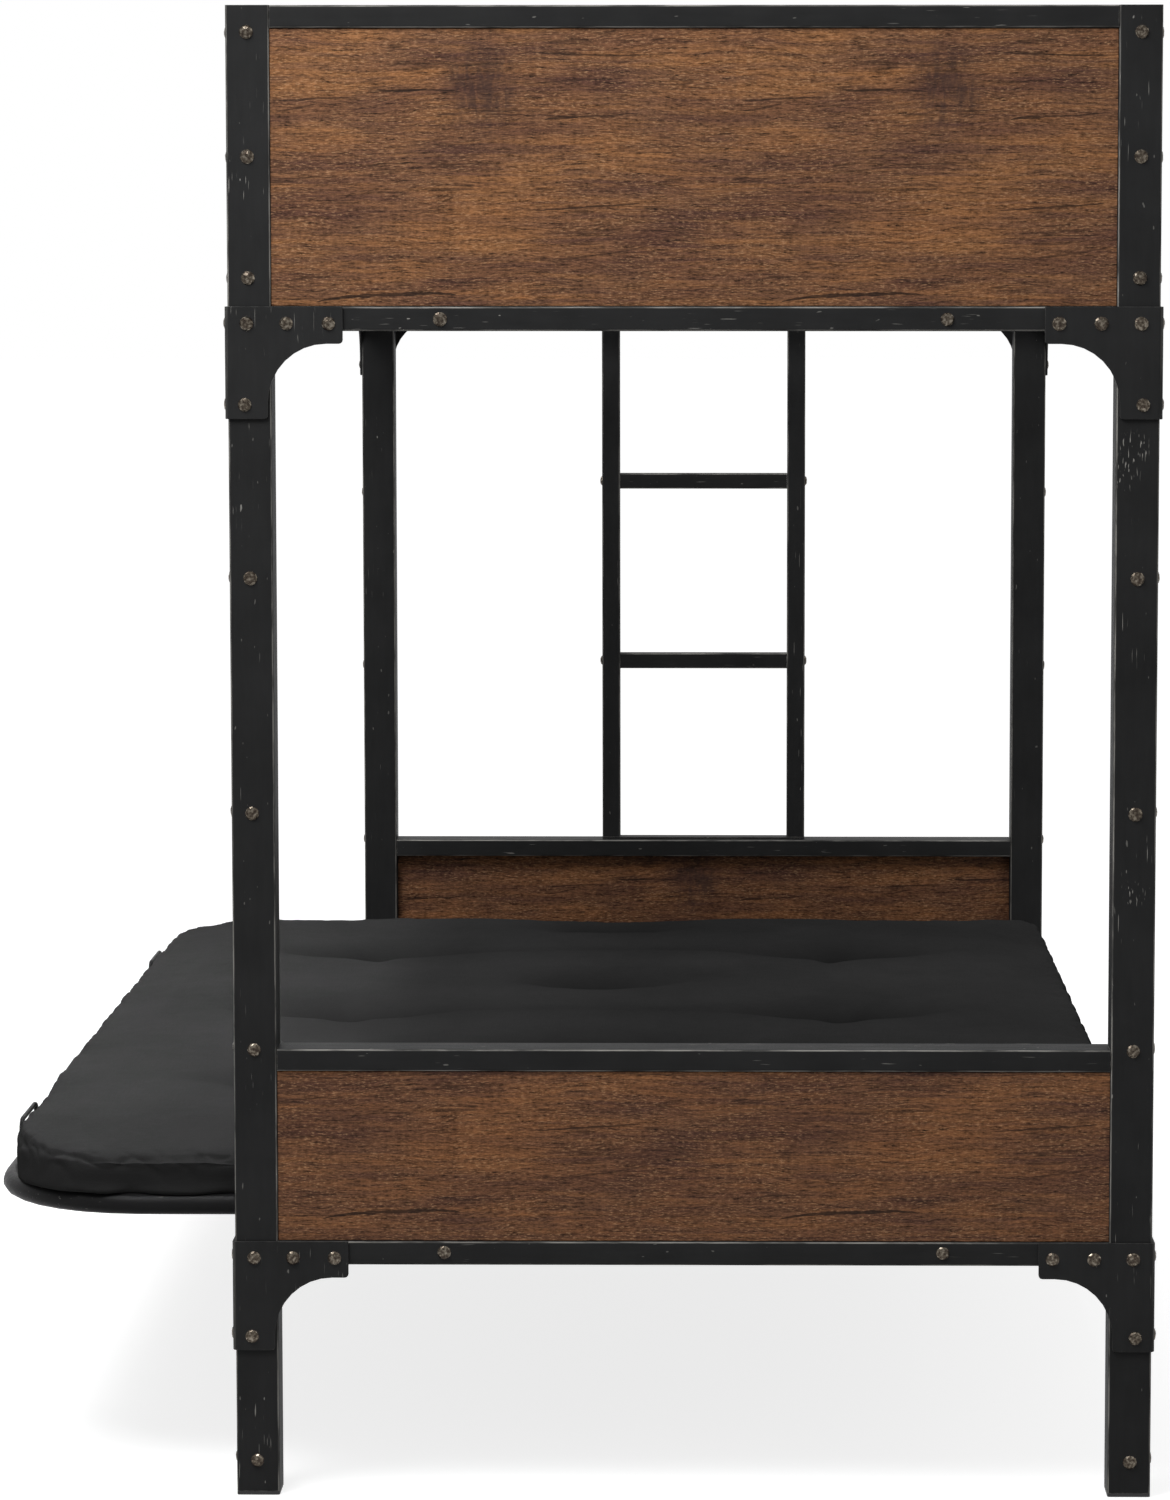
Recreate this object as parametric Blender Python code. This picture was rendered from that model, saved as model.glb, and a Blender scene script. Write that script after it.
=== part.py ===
"""Bunk bed with a folding futon below: steel tube frame, wood end panels, a deck that slides and folds.

Metres, +Z up. X runs along the bed: the plain end is at +X and the ladder end at -X.
The futon opens towards -Y.
The origin is on the floor, in the middle of the bed's outline with the futon laid flat.
"""
import math

import bmesh
import bpy
from mathutils import Matrix, Vector

# Clearance between pieces that touch, overrun of a cut, and the sharpest bend that shades smooth
GAP = 0.0003
OVERRUN = 0.004
SMOOTH_ANGLE = math.radians(30.0)

# The whole frame
LENGTH = 2.050
WIDTH = 1.067
HEIGHT = 1.7275

# Square tube
POST = 0.050
TUBE_WALL = 0.0015
TUBE_CORNER = 0.003
CORNER_STEPS = 3
SMALL_CORNER_STEPS = 1
CAP_RAIL_H = 0.026
SILL_RAIL_H = 0.028
SIDE_RAIL_W = 0.040
HEAD_H = 0.342
LOWER_SILL_TOP = 0.301
LOWER_CAP_TOP = 0.527

# Foot glides, pressed into the open lower ends of the posts
FOOT_H = 0.004
FOOT_SPIGOT_H = 0.018

# Wood panels
PANEL_T = 0.018
PANEL_RECESS = 0.003
PANEL_EDGE = 0.001

# Corner gussets: folded plates round the outer corner of each post
GUSSET_T = 0.003
GUSSET_W = 0.1325
GUSSET_ARM = 0.0425
GUSSET_LEG = 0.0465
GUSSET_R = 0.067
GUSSET_CORNER = 0.0045
GUSSET_ARC_STEPS = 8
GUSSET_BEND_STEPS = 3

# Ladder in the far end frame
STILE = 0.028
STILE_SPAN = 0.318
RUNG = 0.024
RUNG_TOP_SHARES = (0.354, 0.6942)
LADDER_PLATE_T = 0.003

# Upper bunk: guard rails and slat deck
GUARD = 0.026
GUARD_TOP_DOWN = 0.0305
GUARD_MID_SHARE = 0.5474
GUARD_UPRIGHT = 0.020
GUARD_UPRIGHT_SHARES = (-0.25, 0.0, 0.25)
WELD = 0.001
BEARER_W = 0.022
BEARER_H = 0.020
BEARER_T = 0.002
SLAT_W = 0.030
SLAT_H = 0.012
SLAT_COUNT = 12

# Futon: how it lies in the frame when flat, and its tufts
FUTON_OVERHANG = 0.2705
FUTON_LAP = 0.015
FUTON_REAR_IN = 0.0145
FUTON_END_GAP = 0.0225
FUTON_TOP = 0.410
FUTON_T = 0.068
FUTON_CROWN = 0.006
FUTON_FRONT_R = 0.130
FUTON_REAR_R = 0.045
FUTON_EDGE_R = 0.020
FUTON_UNDER_R = 0.010
FUTON_DRAW_IN = 0.004
FUTON_SPLIT = 0.0015
FUTON_EDGE_SHARES = (0.0, 0.12, 0.4, 1.0)
TUFT_DEPTH = 0.012
TUFT_R = 0.085
TUFT_OUTER_SHARE = 0.5064
TUFT_PITCH_SHARE = 0.294
TUFT_PITCH_STEPS = 8
TUFT_ROW_STEPS = 5

# Futon deck: bent round tube, cross bar and flat slats
DECK_TUBE_R = 0.0127
DECK_TUBE_SIDES = 12
DECK_FRONT_OUT = 0.0227
DECK_FRONT_R = 0.171
DECK_REAR_IN = 0.0175
DECK_REAR_R = 0.050
DECK_BEND_STEPS = 8
DECK_SLAT_W = 0.030
DECK_SLAT_T = 0.003
DECK_SLAT_COUNT = 11
DECK_SLAT_DROP = 0.001
CROSS_BAR_W = 0.012
CROSS_BAR_OFF = 0.034
CROSS_BAR_BELOW = 0.005
DECK_END_OFF = 0.022

# Wire loops that hold the mattress at the front
LOOP_WIRE_R = 0.003
LOOP_LENGTH = 0.132
LOOP_TOP = 0.390
LOOP_END_IN = 0.320
LOOP_BEND_R = 0.014
LOOP_BEND_STEPS = 4
LOOP_SIDES = 8

# Fold mechanism at each end of the deck
FOLD_TRAVEL = 0.330
FOLD_ANGLE = math.radians(75.0)
HINGE_Z = 0.385
GUIDE_T = 0.0025
TRACK_DEPTH = 0.0125
TRACK_H = 0.026
GLIDE_LENGTH = 0.025
GLIDE_FRONT_IN = 0.0935
GLIDE_REAR_OFF = 0.0325
GLIDE_STUB_R = 0.004
SIDE_PLATE_T = 0.003
PLATE_MARGIN = 0.009
CAM_ARM = 0.062
CAM_START = math.radians(-78.0)
CAM_BUSH_R = 0.008
CAM_WALL = 0.006
CAM_FLANGE_R = 0.011
CAM_FLANGE_T = 0.0025
CAM_STEPS = 12
PIN_R = 0.005
PIN_HEAD_R = 0.009
PIN_HEAD_T = 0.002
PIN_TAIL_T = 0.0012
HINGE_BOSS_R = 0.0115
CAM_BOSS_R = 0.009
BACK_PLATE_TAIL = 0.120
EAR_RUN = 0.060
ROUND_STEPS = 16
BOSS_STEPS = 8

# Places that follow from the sizes above
UPPER_SILL_TOP = HEIGHT - HEAD_H
INNER_X = LENGTH / 2 - POST
FUTON_LENGTH = 2 * (INNER_X - FUTON_END_GAP)
FUTON_FRONT = WIDTH / 2 + FUTON_OVERHANG
FUTON_REAR = WIDTH / 2 - FUTON_REAR_IN
FUTON_DEPTH = FUTON_FRONT + FUTON_REAR
TUFT_PITCH = TUFT_PITCH_SHARE * FUTON_LENGTH
TUFT_OUTER_Y = TUFT_OUTER_SHARE * FUTON_DEPTH / 2
LOOP_X = INNER_X - LOOP_END_IN
GUARD_TOP_Z = HEIGHT - GUARD_TOP_DOWN
GUARD_MID_Z = UPPER_SILL_TOP + GUARD_MID_SHARE * (GUARD_TOP_Z - UPPER_SILL_TOP)
SIDE_REACH = WIDTH / 2 + GAP + GUSSET_T
DECK_FRONT_Y = -FUTON_FRONT - DECK_FRONT_OUT
DECK_TUBE_FLAT = DECK_TUBE_R * math.cos(math.pi / DECK_TUBE_SIDES)
DECK_REACH = -DECK_FRONT_Y + DECK_TUBE_FLAT
MID_Y = (DECK_REACH - SIDE_REACH) / 2
POST_X = LENGTH / 2 - POST / 2
POST_Y = WIDTH / 2 - POST / 2
RAIL_LENGTH = WIDTH - 2 * POST - 2 * GAP
SIDE_LENGTH = LENGTH - 2 * POST - 2 * GAP
HINGE_Y = (FUTON_REAR - FUTON_FRONT) / 2
GLIDE_FRONT_Y = GLIDE_FRONT_IN - WIDTH / 2
GLIDE_REAR_Y = HINGE_Y - GLIDE_REAR_OFF
FUTON_BOTTOM = FUTON_TOP - FUTON_T
DECK_Z = FUTON_BOTTOM - GAP - DECK_TUBE_FLAT
TRACK_BOTTOM = LOWER_SILL_TOP - SILL_RAIL_H / 2 - TRACK_H / 2
TRACK_TOP = TRACK_BOTTOM + TRACK_H
GLIDE_Z = (TRACK_BOTTOM + TRACK_TOP) / 2
GLIDE_H = TRACK_H - 2 * GUIDE_T - 2 * GAP
SEAT_PLATE_D = GAP + TRACK_DEPTH + GAP
BACK_PLATE_D = SEAT_PLATE_D + SIDE_PLATE_T + GAP
SEAT_TUBE_D = SEAT_PLATE_D + SIDE_PLATE_T + GAP + DECK_TUBE_R
BACK_TUBE_D = BACK_PLATE_D + SIDE_PLATE_T + GAP + DECK_TUBE_R
CAM_SLOT_R = CAM_BUSH_R + GAP

STEEL = ((0.030, 0.031, 0.031), 0.45, 0.60)
DECK_STEEL = ((0.018, 0.018, 0.019), 0.40, 0.60)
WOOD = ((0.150, 0.062, 0.028), 0.60, 0.0)
NYLON = ((0.020, 0.020, 0.020), 0.55, 0.0)
ZINC = ((0.32, 0.31, 0.29), 0.35, 0.90)
FABRIC = ((0.028, 0.028, 0.029), 0.85, 0.0)


def ends():
    """Name of each end frame, and its sign along X."""
    return ("near", 1), ("far", -1)


def sides():
    """Name of each long side, and its sign along Y."""
    return ("front", -1), ("rear", 1)


def clear_scene():
    for obj in list(bpy.data.objects):
        bpy.data.objects.remove(obj, do_unlink=True)


def link(obj):
    bpy.context.scene.collection.objects.link(obj)
    return obj


def finish_material(name, finish):
    colour, roughness, metallic = finish
    material = bpy.data.materials.new(name + "_finish")
    material.use_nodes = True
    shader = material.node_tree.nodes["Principled BSDF"]
    shader.inputs["Base Color"].default_value = (*colour, 1.0)
    shader.inputs["Roughness"].default_value = roughness
    shader.inputs["Metallic"].default_value = metallic
    return material


def mesh_of(name, vertices, faces):
    """A closed mesh with its faces turned outwards."""
    mesh = bpy.data.meshes.new(name)
    work = bmesh.new()
    made = [work.verts.new(v) for v in vertices]
    for face in faces:
        work.faces.new([made[i] for i in face])
    bmesh.ops.recalc_face_normals(work, faces=work.faces)
    work.to_mesh(mesh)
    work.free()
    return mesh


def place(name, mesh, finish, location=(0, 0, 0), turn=0.0, parent=None):
    """A named piece at a place in the bed's frame, turned about Z, carried by its parent."""
    obj = link(bpy.data.objects.new(name, mesh))
    obj.location = location
    obj.rotation_euler = (0.0, 0.0, turn)
    if parent is not None:
        obj.parent = parent
        obj.matrix_parent_inverse = Matrix.Translation(-Vector(parent["at"]))
    if not mesh.materials:
        mesh.materials.append(finish_material(name, finish))
    mesh.shade_smooth()
    mesh.set_sharp_from_angle(angle=SMOOTH_ANGLE)
    return obj


def pivot(name, at, parent=None):
    """An empty on a joint's axis, which carries the pieces that move with it."""
    empty = link(bpy.data.objects.new(name, None))
    base = Vector(parent["at"]) if parent is not None else Vector((0, 0, 0))
    empty.location = Vector(at) - base
    empty["at"] = at
    empty.parent = parent
    return empty


def guide(name, mesh):
    """A shape that only cuts or joins another piece, and isn't a piece itself."""
    obj = link(bpy.data.objects.new(name, mesh))
    obj.hide_render = True
    obj.display_type = "WIRE"
    return obj


def combine(obj, shape, operation):
    modifier = obj.modifiers.new(operation.title(), "BOOLEAN")
    modifier.operation = operation
    modifier.object = shape
    modifier.solver = "EXACT"


def arc(centre, radius, start, end, steps):
    """Points on an arc in a plane, angles in degrees, both ends included."""
    points = []
    for i in range(steps + 1):
        a = math.radians(start + (end - start) * i / steps)
        points.append((centre[0] + radius * math.cos(a), centre[1] + radius * math.sin(a)))
    return points


def rounded_rectangle(width, height, radius, steps=CORNER_STEPS):
    w, h = width / 2 - radius, height / 2 - radius
    points = []
    for cx, cy, start in ((w, h, 0), (-w, h, 90), (-w, -h, 180), (w, -h, 270)):
        points += arc((cx, cy), radius, start, start + 90, steps)
    return points


def along(axis, u, v, w):
    """A point from a section's two coordinates and its place along an axis."""
    return {"X": (w, u, v), "Y": (u, w, v), "Z": (u, v, w)}[axis]


def square_tube(name, width, height, length, axis, closed_end=False, start=0.0, steps=CORNER_STEPS):
    """Hollow tube with rounded corners. A closed end has an end plate as thick as the wall."""
    outer = rounded_rectangle(width, height, TUBE_CORNER, steps)
    inner = rounded_rectangle(
        width - 2 * TUBE_WALL,
        height - 2 * TUBE_WALL,
        TUBE_CORNER - TUBE_WALL,
        steps,
    )
    n = len(outer)
    end = start + length
    inner_end = end - TUBE_WALL if closed_end else end
    vertices = [along(axis, u, v, start) for u, v in outer]
    vertices += [along(axis, u, v, end) for u, v in outer]
    vertices += [along(axis, u, v, start) for u, v in inner]
    vertices += [along(axis, u, v, inner_end) for u, v in inner]
    faces = []
    for i in range(n):
        j = (i + 1) % n
        faces.append((i, j, n + j, n + i))
        faces.append((2 * n + i, 2 * n + j, 3 * n + j, 3 * n + i))
        faces.append((i, j, 2 * n + j, 2 * n + i))
        if not closed_end:
            faces.append((n + i, n + j, 3 * n + j, 3 * n + i))
    if closed_end:
        faces.append(tuple(range(n, 2 * n)))
        faces.append(tuple(range(3 * n, 4 * n)))
    return mesh_of(name, vertices, faces)


def prism(name, outline, start, end, axis):
    """An outline pushed along an axis."""
    n = len(outline)
    vertices = [along(axis, u, v, start) for u, v in outline]
    vertices += [along(axis, u, v, end) for u, v in outline]
    faces = [tuple(range(n)), tuple(range(n, 2 * n))]
    faces += [(i, (i + 1) % n, n + (i + 1) % n, n + i) for i in range(n)]
    return mesh_of(name, vertices, faces)


def boxes(name, corners):
    """One mesh of separate boxes, each from its lowest to its highest corner."""
    vertices, faces = [], []
    for low, high in corners:
        base = len(vertices)
        xs, ys, zs = zip(low, high)
        vertices += [(x, y, z) for x in xs for y in ys for z in zs]
        for quad in ((0, 1, 3, 2), (4, 5, 7, 6), (0, 1, 5, 4), (2, 3, 7, 6), (0, 2, 6, 4), (1, 3, 7, 5)):
            faces.append(tuple(base + i for i in quad))
    return mesh_of(name, vertices, faces)


def repeated(name, copies):
    """One mesh of separate shapes, each a mesh and its place."""
    work = bmesh.new()
    for mesh, at in copies:
        before = len(work.verts)
        work.from_mesh(mesh)
        work.verts.ensure_lookup_table()
        bmesh.ops.translate(work, verts=work.verts[before:], vec=at)
    merged = bpy.data.meshes.new(name)
    work.to_mesh(merged)
    work.free()
    return merged


def turned(name, profile, steps=ROUND_STEPS):
    """A turned piece about X, from its profile of (place along X, radius)."""
    vertices, faces = [], []
    for x, radius in profile:
        for i in range(steps):
            a = 2 * math.pi * i / steps
            vertices.append((x, radius * math.cos(a), radius * math.sin(a)))
    for k in range(len(profile) - 1):
        for i in range(steps):
            j = (i + 1) % steps
            faces.append((k * steps + i, k * steps + j, (k + 1) * steps + j, (k + 1) * steps + i))
    faces.append(tuple(range(steps)))
    faces.append(tuple(range((len(profile) - 1) * steps, len(profile) * steps)))
    return mesh_of(name, vertices, faces)


def swept(name, path, radii, sides, normal):
    """A bar along a flat path: solid with one radius, a tube with an outer and an inner one."""
    vertices, faces = [], []
    count = len(path)
    for radius in radii:
        for k, point in enumerate(path):
            before, after = path[max(k - 1, 0)], path[min(k + 1, count - 1)]
            across = (Vector(after) - Vector(before)).normalized().cross(normal)
            for i in range(sides):
                a = 2 * math.pi * (i + 0.5) / sides
                vertices.append(Vector(point) + radius * (math.cos(a) * across + math.sin(a) * normal))
    for wall in range(len(radii)):
        base = wall * count * sides
        for k in range(count - 1):
            for i in range(sides):
                j = (i + 1) % sides
                a, b = base + k * sides, base + (k + 1) * sides
                faces.append((a + i, a + j, b + j, b + i))
    last = (count - 1) * sides
    if len(radii) == 1:
        faces += [tuple(range(sides)), tuple(range(last, last + sides))]
    else:
        inner = count * sides
        for k in (0, last):
            for i in range(sides):
                j = (i + 1) % sides
                faces.append((k + i, k + j, inner + k + j, inner + k + i))
    return mesh_of(name, vertices, faces)


def end_x(sign, depth):
    """X of a place so deep inside the inner face of an end frame."""
    return sign * (INNER_X - depth)


def make_posts():
    mesh = square_tube("post", POST, POST, HEIGHT - FOOT_H - GAP, "Z", closed_end=True, start=FOOT_H + GAP)
    for end, sx in ends():
        for side, sy in sides():
            place(f"post_{end}_{side}", mesh, STEEL, (sx * POST_X, MID_Y + sy * POST_Y, 0))


def make_feet():
    """A pad under the post with a spigot that fits the tube."""
    pad = prism("foot", rounded_rectangle(POST, POST, TUBE_CORNER), 0, FOOT_H, "Z")
    inside = POST - 2 * TUBE_WALL - 2 * GAP
    outline = rounded_rectangle(inside, inside, TUBE_CORNER - TUBE_WALL)
    spigot_mesh = prism("foot_spigot", outline, FOOT_H / 2, FOOT_H + FOOT_SPIGOT_H, "Z")
    for end, sx in ends():
        for side, sy in sides():
            at = (sx * POST_X, MID_Y + sy * POST_Y, 0)
            foot = place(f"foot_{end}_{side}", pad.copy(), NYLON, at)
            spigot = guide(f"foot_spigot_{end}_{side}", spigot_mesh)
            spigot.location = at
            combine(foot, spigot, "UNION")


def make_end_rails():
    levels = (
        ("cap_rail", HEIGHT, CAP_RAIL_H),
        ("upper_sill_rail", UPPER_SILL_TOP, SILL_RAIL_H),
        ("lower_cap_rail", LOWER_CAP_TOP, CAP_RAIL_H),
        ("lower_sill_rail", LOWER_SILL_TOP, SILL_RAIL_H),
    )
    for name, top, height in levels:
        mesh = square_tube(name, POST, height, RAIL_LENGTH, "Y", start=-RAIL_LENGTH / 2)
        for end, sx in ends():
            place(f"{end}_{name}", mesh, STEEL, (sx * POST_X, MID_Y, top - height / 2))


def make_panels():
    spans = (
        ("upper_panel", UPPER_SILL_TOP, HEIGHT - CAP_RAIL_H),
        ("lower_panel", LOWER_SILL_TOP, LOWER_CAP_TOP - CAP_RAIL_H),
    )
    width = WIDTH - 2 * POST - 2 * GAP
    for name, low, high in spans:
        height = high - low - 2 * GAP
        outline = rounded_rectangle(PANEL_T, height, PANEL_EDGE, 1)
        mesh = prism(name, outline, -width / 2, width / 2, "Y")
        for end, sx in ends():
            x = sx * (LENGTH / 2 - PANEL_RECESS - PANEL_T / 2)
            place(f"{end}_{name}", mesh, WOOD, (x, MID_Y, (low + high) / 2))


def gusset_wing():
    """Outline of one wing as (place along the face from the post's outer corner, height under the top)."""
    corner = GUSSET_CORNER
    arm_end = GUSSET_W
    leg_foot = GUSSET_ARM + GUSSET_R + (GUSSET_W - GUSSET_LEG - GUSSET_R)
    hollow = (GUSSET_LEG + GUSSET_R, -GUSSET_ARM - GUSSET_R)
    points = [(arm_end, 0.0)]
    points += arc((arm_end - corner, -GUSSET_ARM + corner), corner, 0, -90, CORNER_STEPS)
    points += arc(hollow, GUSSET_R, 90, 180, GUSSET_ARC_STEPS)
    points += arc((GUSSET_LEG - corner, -leg_foot + corner), corner, 0, -90, CORNER_STEPS)
    return points, leg_foot


def gusset_mesh():
    """Plate folded round a corner at the origin, with its two wings along -X and +Y of the outer faces."""
    wing, foot = gusset_wing()
    bend = GUSSET_T
    vertices, faces = [], []

    def wall(offset, swap):
        """Vertices of one wing's face at an offset out from the post."""
        first = len(vertices)
        rows = [(bend, 0.0)] + wing + [(bend, -foot)]
        for u, z in rows:
            vertices.append((offset, u, z) if swap else (-u, -offset, z))
        return list(range(first, first + len(rows)))

    x_out, x_in = wall(GUSSET_T, True), wall(0.0, True)
    y_out, y_in = wall(GUSSET_T, False), wall(0.0, False)
    for outside, inside in ((x_out, x_in), (y_out, y_in)):
        faces += [tuple(outside), tuple(inside)]
        for i in range(len(outside) - 1):
            faces.append((outside[i], outside[i + 1], inside[i + 1], inside[i]))
    columns = []
    for k in range(1, GUSSET_BEND_STEPS):
        a = math.radians(90.0 * k / GUSSET_BEND_STEPS)
        radius = GUSSET_T + bend
        for r in (radius, bend):
            point = (-bend + r * math.cos(a), bend - r * math.sin(a))
            columns.append(len(vertices))
            vertices.extend([(*point, 0.0), (*point, -foot)])
    strips = [(x_out[0], x_out[-1], x_in[0], x_in[-1])]
    for k in range(GUSSET_BEND_STEPS - 1):
        outer, inner = columns[2 * k], columns[2 * k + 1]
        strips.append((outer, outer + 1, inner, inner + 1))
    strips.append((y_out[0], y_out[-1], y_in[0], y_in[-1]))
    for a, b in zip(strips, strips[1:]):
        faces += [(a[0], a[1], b[1], b[0]), (a[2], a[3], b[3], b[2])]
        faces += [(a[0], b[0], b[2], a[2]), (a[1], b[1], b[3], a[3])]
    return mesh_of("gusset", vertices, faces)


def make_gussets():
    """All corners share one folded plate, turned in quarter turns."""
    mesh = gusset_mesh()
    corners = (
        ("near_front", 1, -1, 0),
        ("near_rear", 1, 1, 90),
        ("far_rear", -1, 1, 180),
        ("far_front", -1, -1, 270),
    )
    for level, top in (("upper", UPPER_SILL_TOP), ("lower", LOWER_SILL_TOP)):
        for corner, sx, sy, turn in corners:
            at = (sx * (LENGTH / 2 + GAP), MID_Y + sy * (WIDTH / 2 + GAP), top)
            place(f"{level}_gusset_{corner}", mesh, STEEL, at, math.radians(turn))


def make_ladder():
    plate_top = LOWER_CAP_TOP + GAP + LADDER_PLATE_T
    half = STILE_SPAN / 2
    low = (-POST_X - STILE / 2, MID_Y - half, LOWER_CAP_TOP + GAP)
    high = (-POST_X + STILE / 2, MID_Y + half, plate_top)
    place("ladder_foot_plate", boxes("ladder_foot_plate", [(low, high)]), STEEL)
    bottom = plate_top + GAP
    length = UPPER_SILL_TOP - SILL_RAIL_H - GAP - bottom
    stile = square_tube("ladder_stile", STILE, STILE, length, "Z")
    for side, sy in sides():
        at = (-POST_X, MID_Y + sy * (half - STILE / 2), bottom)
        place(f"ladder_stile_{side}", stile, STEEL, at)
    rung_length = STILE_SPAN - 2 * STILE - 2 * GAP
    rung = square_tube("ladder_rung", RUNG, RUNG, rung_length, "Y", start=-rung_length / 2)
    height = UPPER_SILL_TOP - SILL_RAIL_H - LOWER_CAP_TOP
    for name, share in zip(("lower", "upper"), RUNG_TOP_SHARES):
        top = LOWER_CAP_TOP + share * height
        place(f"ladder_rung_{name}", rung, STEEL, (-POST_X, MID_Y, top - RUNG / 2))


def make_side_rails():
    """Long rails between the end frames, at the upper and the lower sill."""
    mesh = square_tube("side_rail", SIDE_RAIL_W, SILL_RAIL_H, SIDE_LENGTH, "X", start=-SIDE_LENGTH / 2)
    for level, top in (("upper", UPPER_SILL_TOP), ("lower", LOWER_SILL_TOP)):
        for side, sy in sides():
            at = (0, MID_Y + sy * (WIDTH / 2 - SIDE_RAIL_W / 2), top - SILL_RAIL_H / 2)
            place(f"{level}_side_rail_{side}", mesh, STEEL, at)


def make_guard_rails():
    """A top rail, and a middle rail with short uprights welded above and below it."""
    top_mesh = square_tube("guard_top", GUARD, GUARD, SIDE_LENGTH, "X", start=-SIDE_LENGTH / 2)
    mid_mesh = square_tube("guard_mid", GUARD, GUARD, SIDE_LENGTH, "X", start=-SIDE_LENGTH / 2)
    spans = (
        (UPPER_SILL_TOP + GAP, GUARD_MID_Z - GUARD / 2 + WELD),
        (GUARD_MID_Z + GUARD / 2 - WELD, GUARD_TOP_Z - GUARD / 2 - GAP),
    )
    size, steps = GUARD_UPRIGHT, SMALL_CORNER_STEPS
    stubs = []
    for low, high in spans:
        stubs.append(square_tube("upright", size, size, high - low, "Z", start=low, steps=steps))
    for side, sy in sides():
        y = MID_Y + sy * POST_Y
        place(f"guard_top_rail_{side}", top_mesh, STEEL, (0, y, GUARD_TOP_Z))
        rail = place(f"guard_mid_rail_{side}", mid_mesh.copy(), STEEL, (0, y, GUARD_MID_Z))
        uprights = []
        for share in GUARD_UPRIGHT_SHARES:
            uprights += [(stub, (share * SIDE_LENGTH, y, 0)) for stub in stubs]
        combine(rail, guide(f"guard_uprights_{side}", repeated("guard_uprights", uprights)), "UNION")


def bearer_outline(side, inner, top):
    """Angle section that lies against the side rail, with its flat flange under the slats."""
    outline = (
        (inner, top),
        (inner - BEARER_W, top),
        (inner - BEARER_W, top - BEARER_T),
        (inner - BEARER_T, top - BEARER_T),
        (inner - BEARER_T, top - BEARER_H),
        (inner, top - BEARER_H),
    )
    return [(MID_Y + side * u, v) for u, v in outline]


def make_slat_deck():
    """Welded grille of the upper bunk: two angle bearers along the side rails, tube slats across them."""
    inner = WIDTH / 2 - SIDE_RAIL_W - GAP
    half_length = SIDE_LENGTH / 2 - GAP
    top = UPPER_SILL_TOP - TUBE_CORNER
    bearer_top = top - SLAT_H + WELD
    bearers = []
    for side, sy in sides():
        outline = bearer_outline(sy, inner, bearer_top)
        bearers.append(prism(f"upper_bearer_{side}", outline, -half_length, half_length, "X"))
    deck = place("upper_slat_deck", bearers[0], STEEL)
    reach = inner - BEARER_T - GAP
    slat = square_tube("slat", SLAT_W, SLAT_H, 2 * reach, "Y", start=-reach, steps=SMALL_CORNER_STEPS)
    pitch = 2 * half_length / SLAT_COUNT
    z = top - SLAT_H / 2
    places = [(-half_length + pitch * (i + 0.5), MID_Y, z) for i in range(SLAT_COUNT)]
    slats = guide("upper_slats", repeated("upper_slats", [(slat, at) for at in places]))
    combine(deck, slats, "UNION")
    combine(deck, guide("upper_bearer_rear", bearers[1]), "UNION")


def cam_point(share):
    """Centre of the back deck's pin, from flat at 0 to upright at 1, and the direction that it moves in."""
    angle = CAM_START + FOLD_ANGLE * share
    y = HINGE_Y + FOLD_TRAVEL * share + CAM_ARM * math.cos(angle)
    z = HINGE_Z + CAM_ARM * math.sin(angle)
    dy = FOLD_TRAVEL - FOLD_ANGLE * CAM_ARM * math.sin(angle)
    dz = FOLD_ANGLE * CAM_ARM * math.cos(angle)
    return (MID_Y + y, z), math.degrees(math.atan2(dz, dy))


def cam_band(radius):
    """Upper and lower line at a distance from the pin's path, both from flat to upright."""
    upper, lower = [], []
    for i in range(CAM_STEPS + 1):
        (y, z), slope = cam_point(i / CAM_STEPS)
        a = math.radians(slope)
        upper.append((y - radius * math.sin(a), z + radius * math.cos(a)))
        lower.append((y + radius * math.sin(a), z - radius * math.cos(a)))
    return upper, lower


def cam_slot_outline():
    upper, lower = cam_band(CAM_SLOT_R)
    (start, slope_0), (end, slope_1) = cam_point(0.0), cam_point(1.0)
    points = lower
    points += arc(end, CAM_SLOT_R, slope_1 - 90, slope_1 + 90, BOSS_STEPS)[1:-1]
    points += upper[::-1]
    points += arc(start, CAM_SLOT_R, slope_0 + 90, slope_0 + 270, BOSS_STEPS)[1:-1]
    return points


def guide_outline():
    """Strip along the sill rail, with a tab that follows the cam slot."""
    radius = CAM_SLOT_R + CAM_WALL
    upper, _ = cam_band(radius)
    (start, slope_0), (end, slope_1) = cam_point(0.0), cam_point(1.0)
    strip_front = MID_Y - RAIL_LENGTH / 2
    strip_rear = end[0] + radius + CAM_WALL
    points = [(strip_front, TRACK_BOTTOM), (strip_rear, TRACK_BOTTOM), (strip_rear, TRACK_TOP)]
    points.append((end[0] + radius, TRACK_TOP))
    points += arc(end, radius, 0, slope_1 + 90, BOSS_STEPS)[:-1]
    points += upper[::-1]
    points += arc(start, radius, slope_0 + 90, 180, BOSS_STEPS)[1:]
    points.append((start[0] - radius, TRACK_TOP))
    points.append((strip_front, TRACK_TOP))
    return points, strip_front, strip_rear


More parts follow.
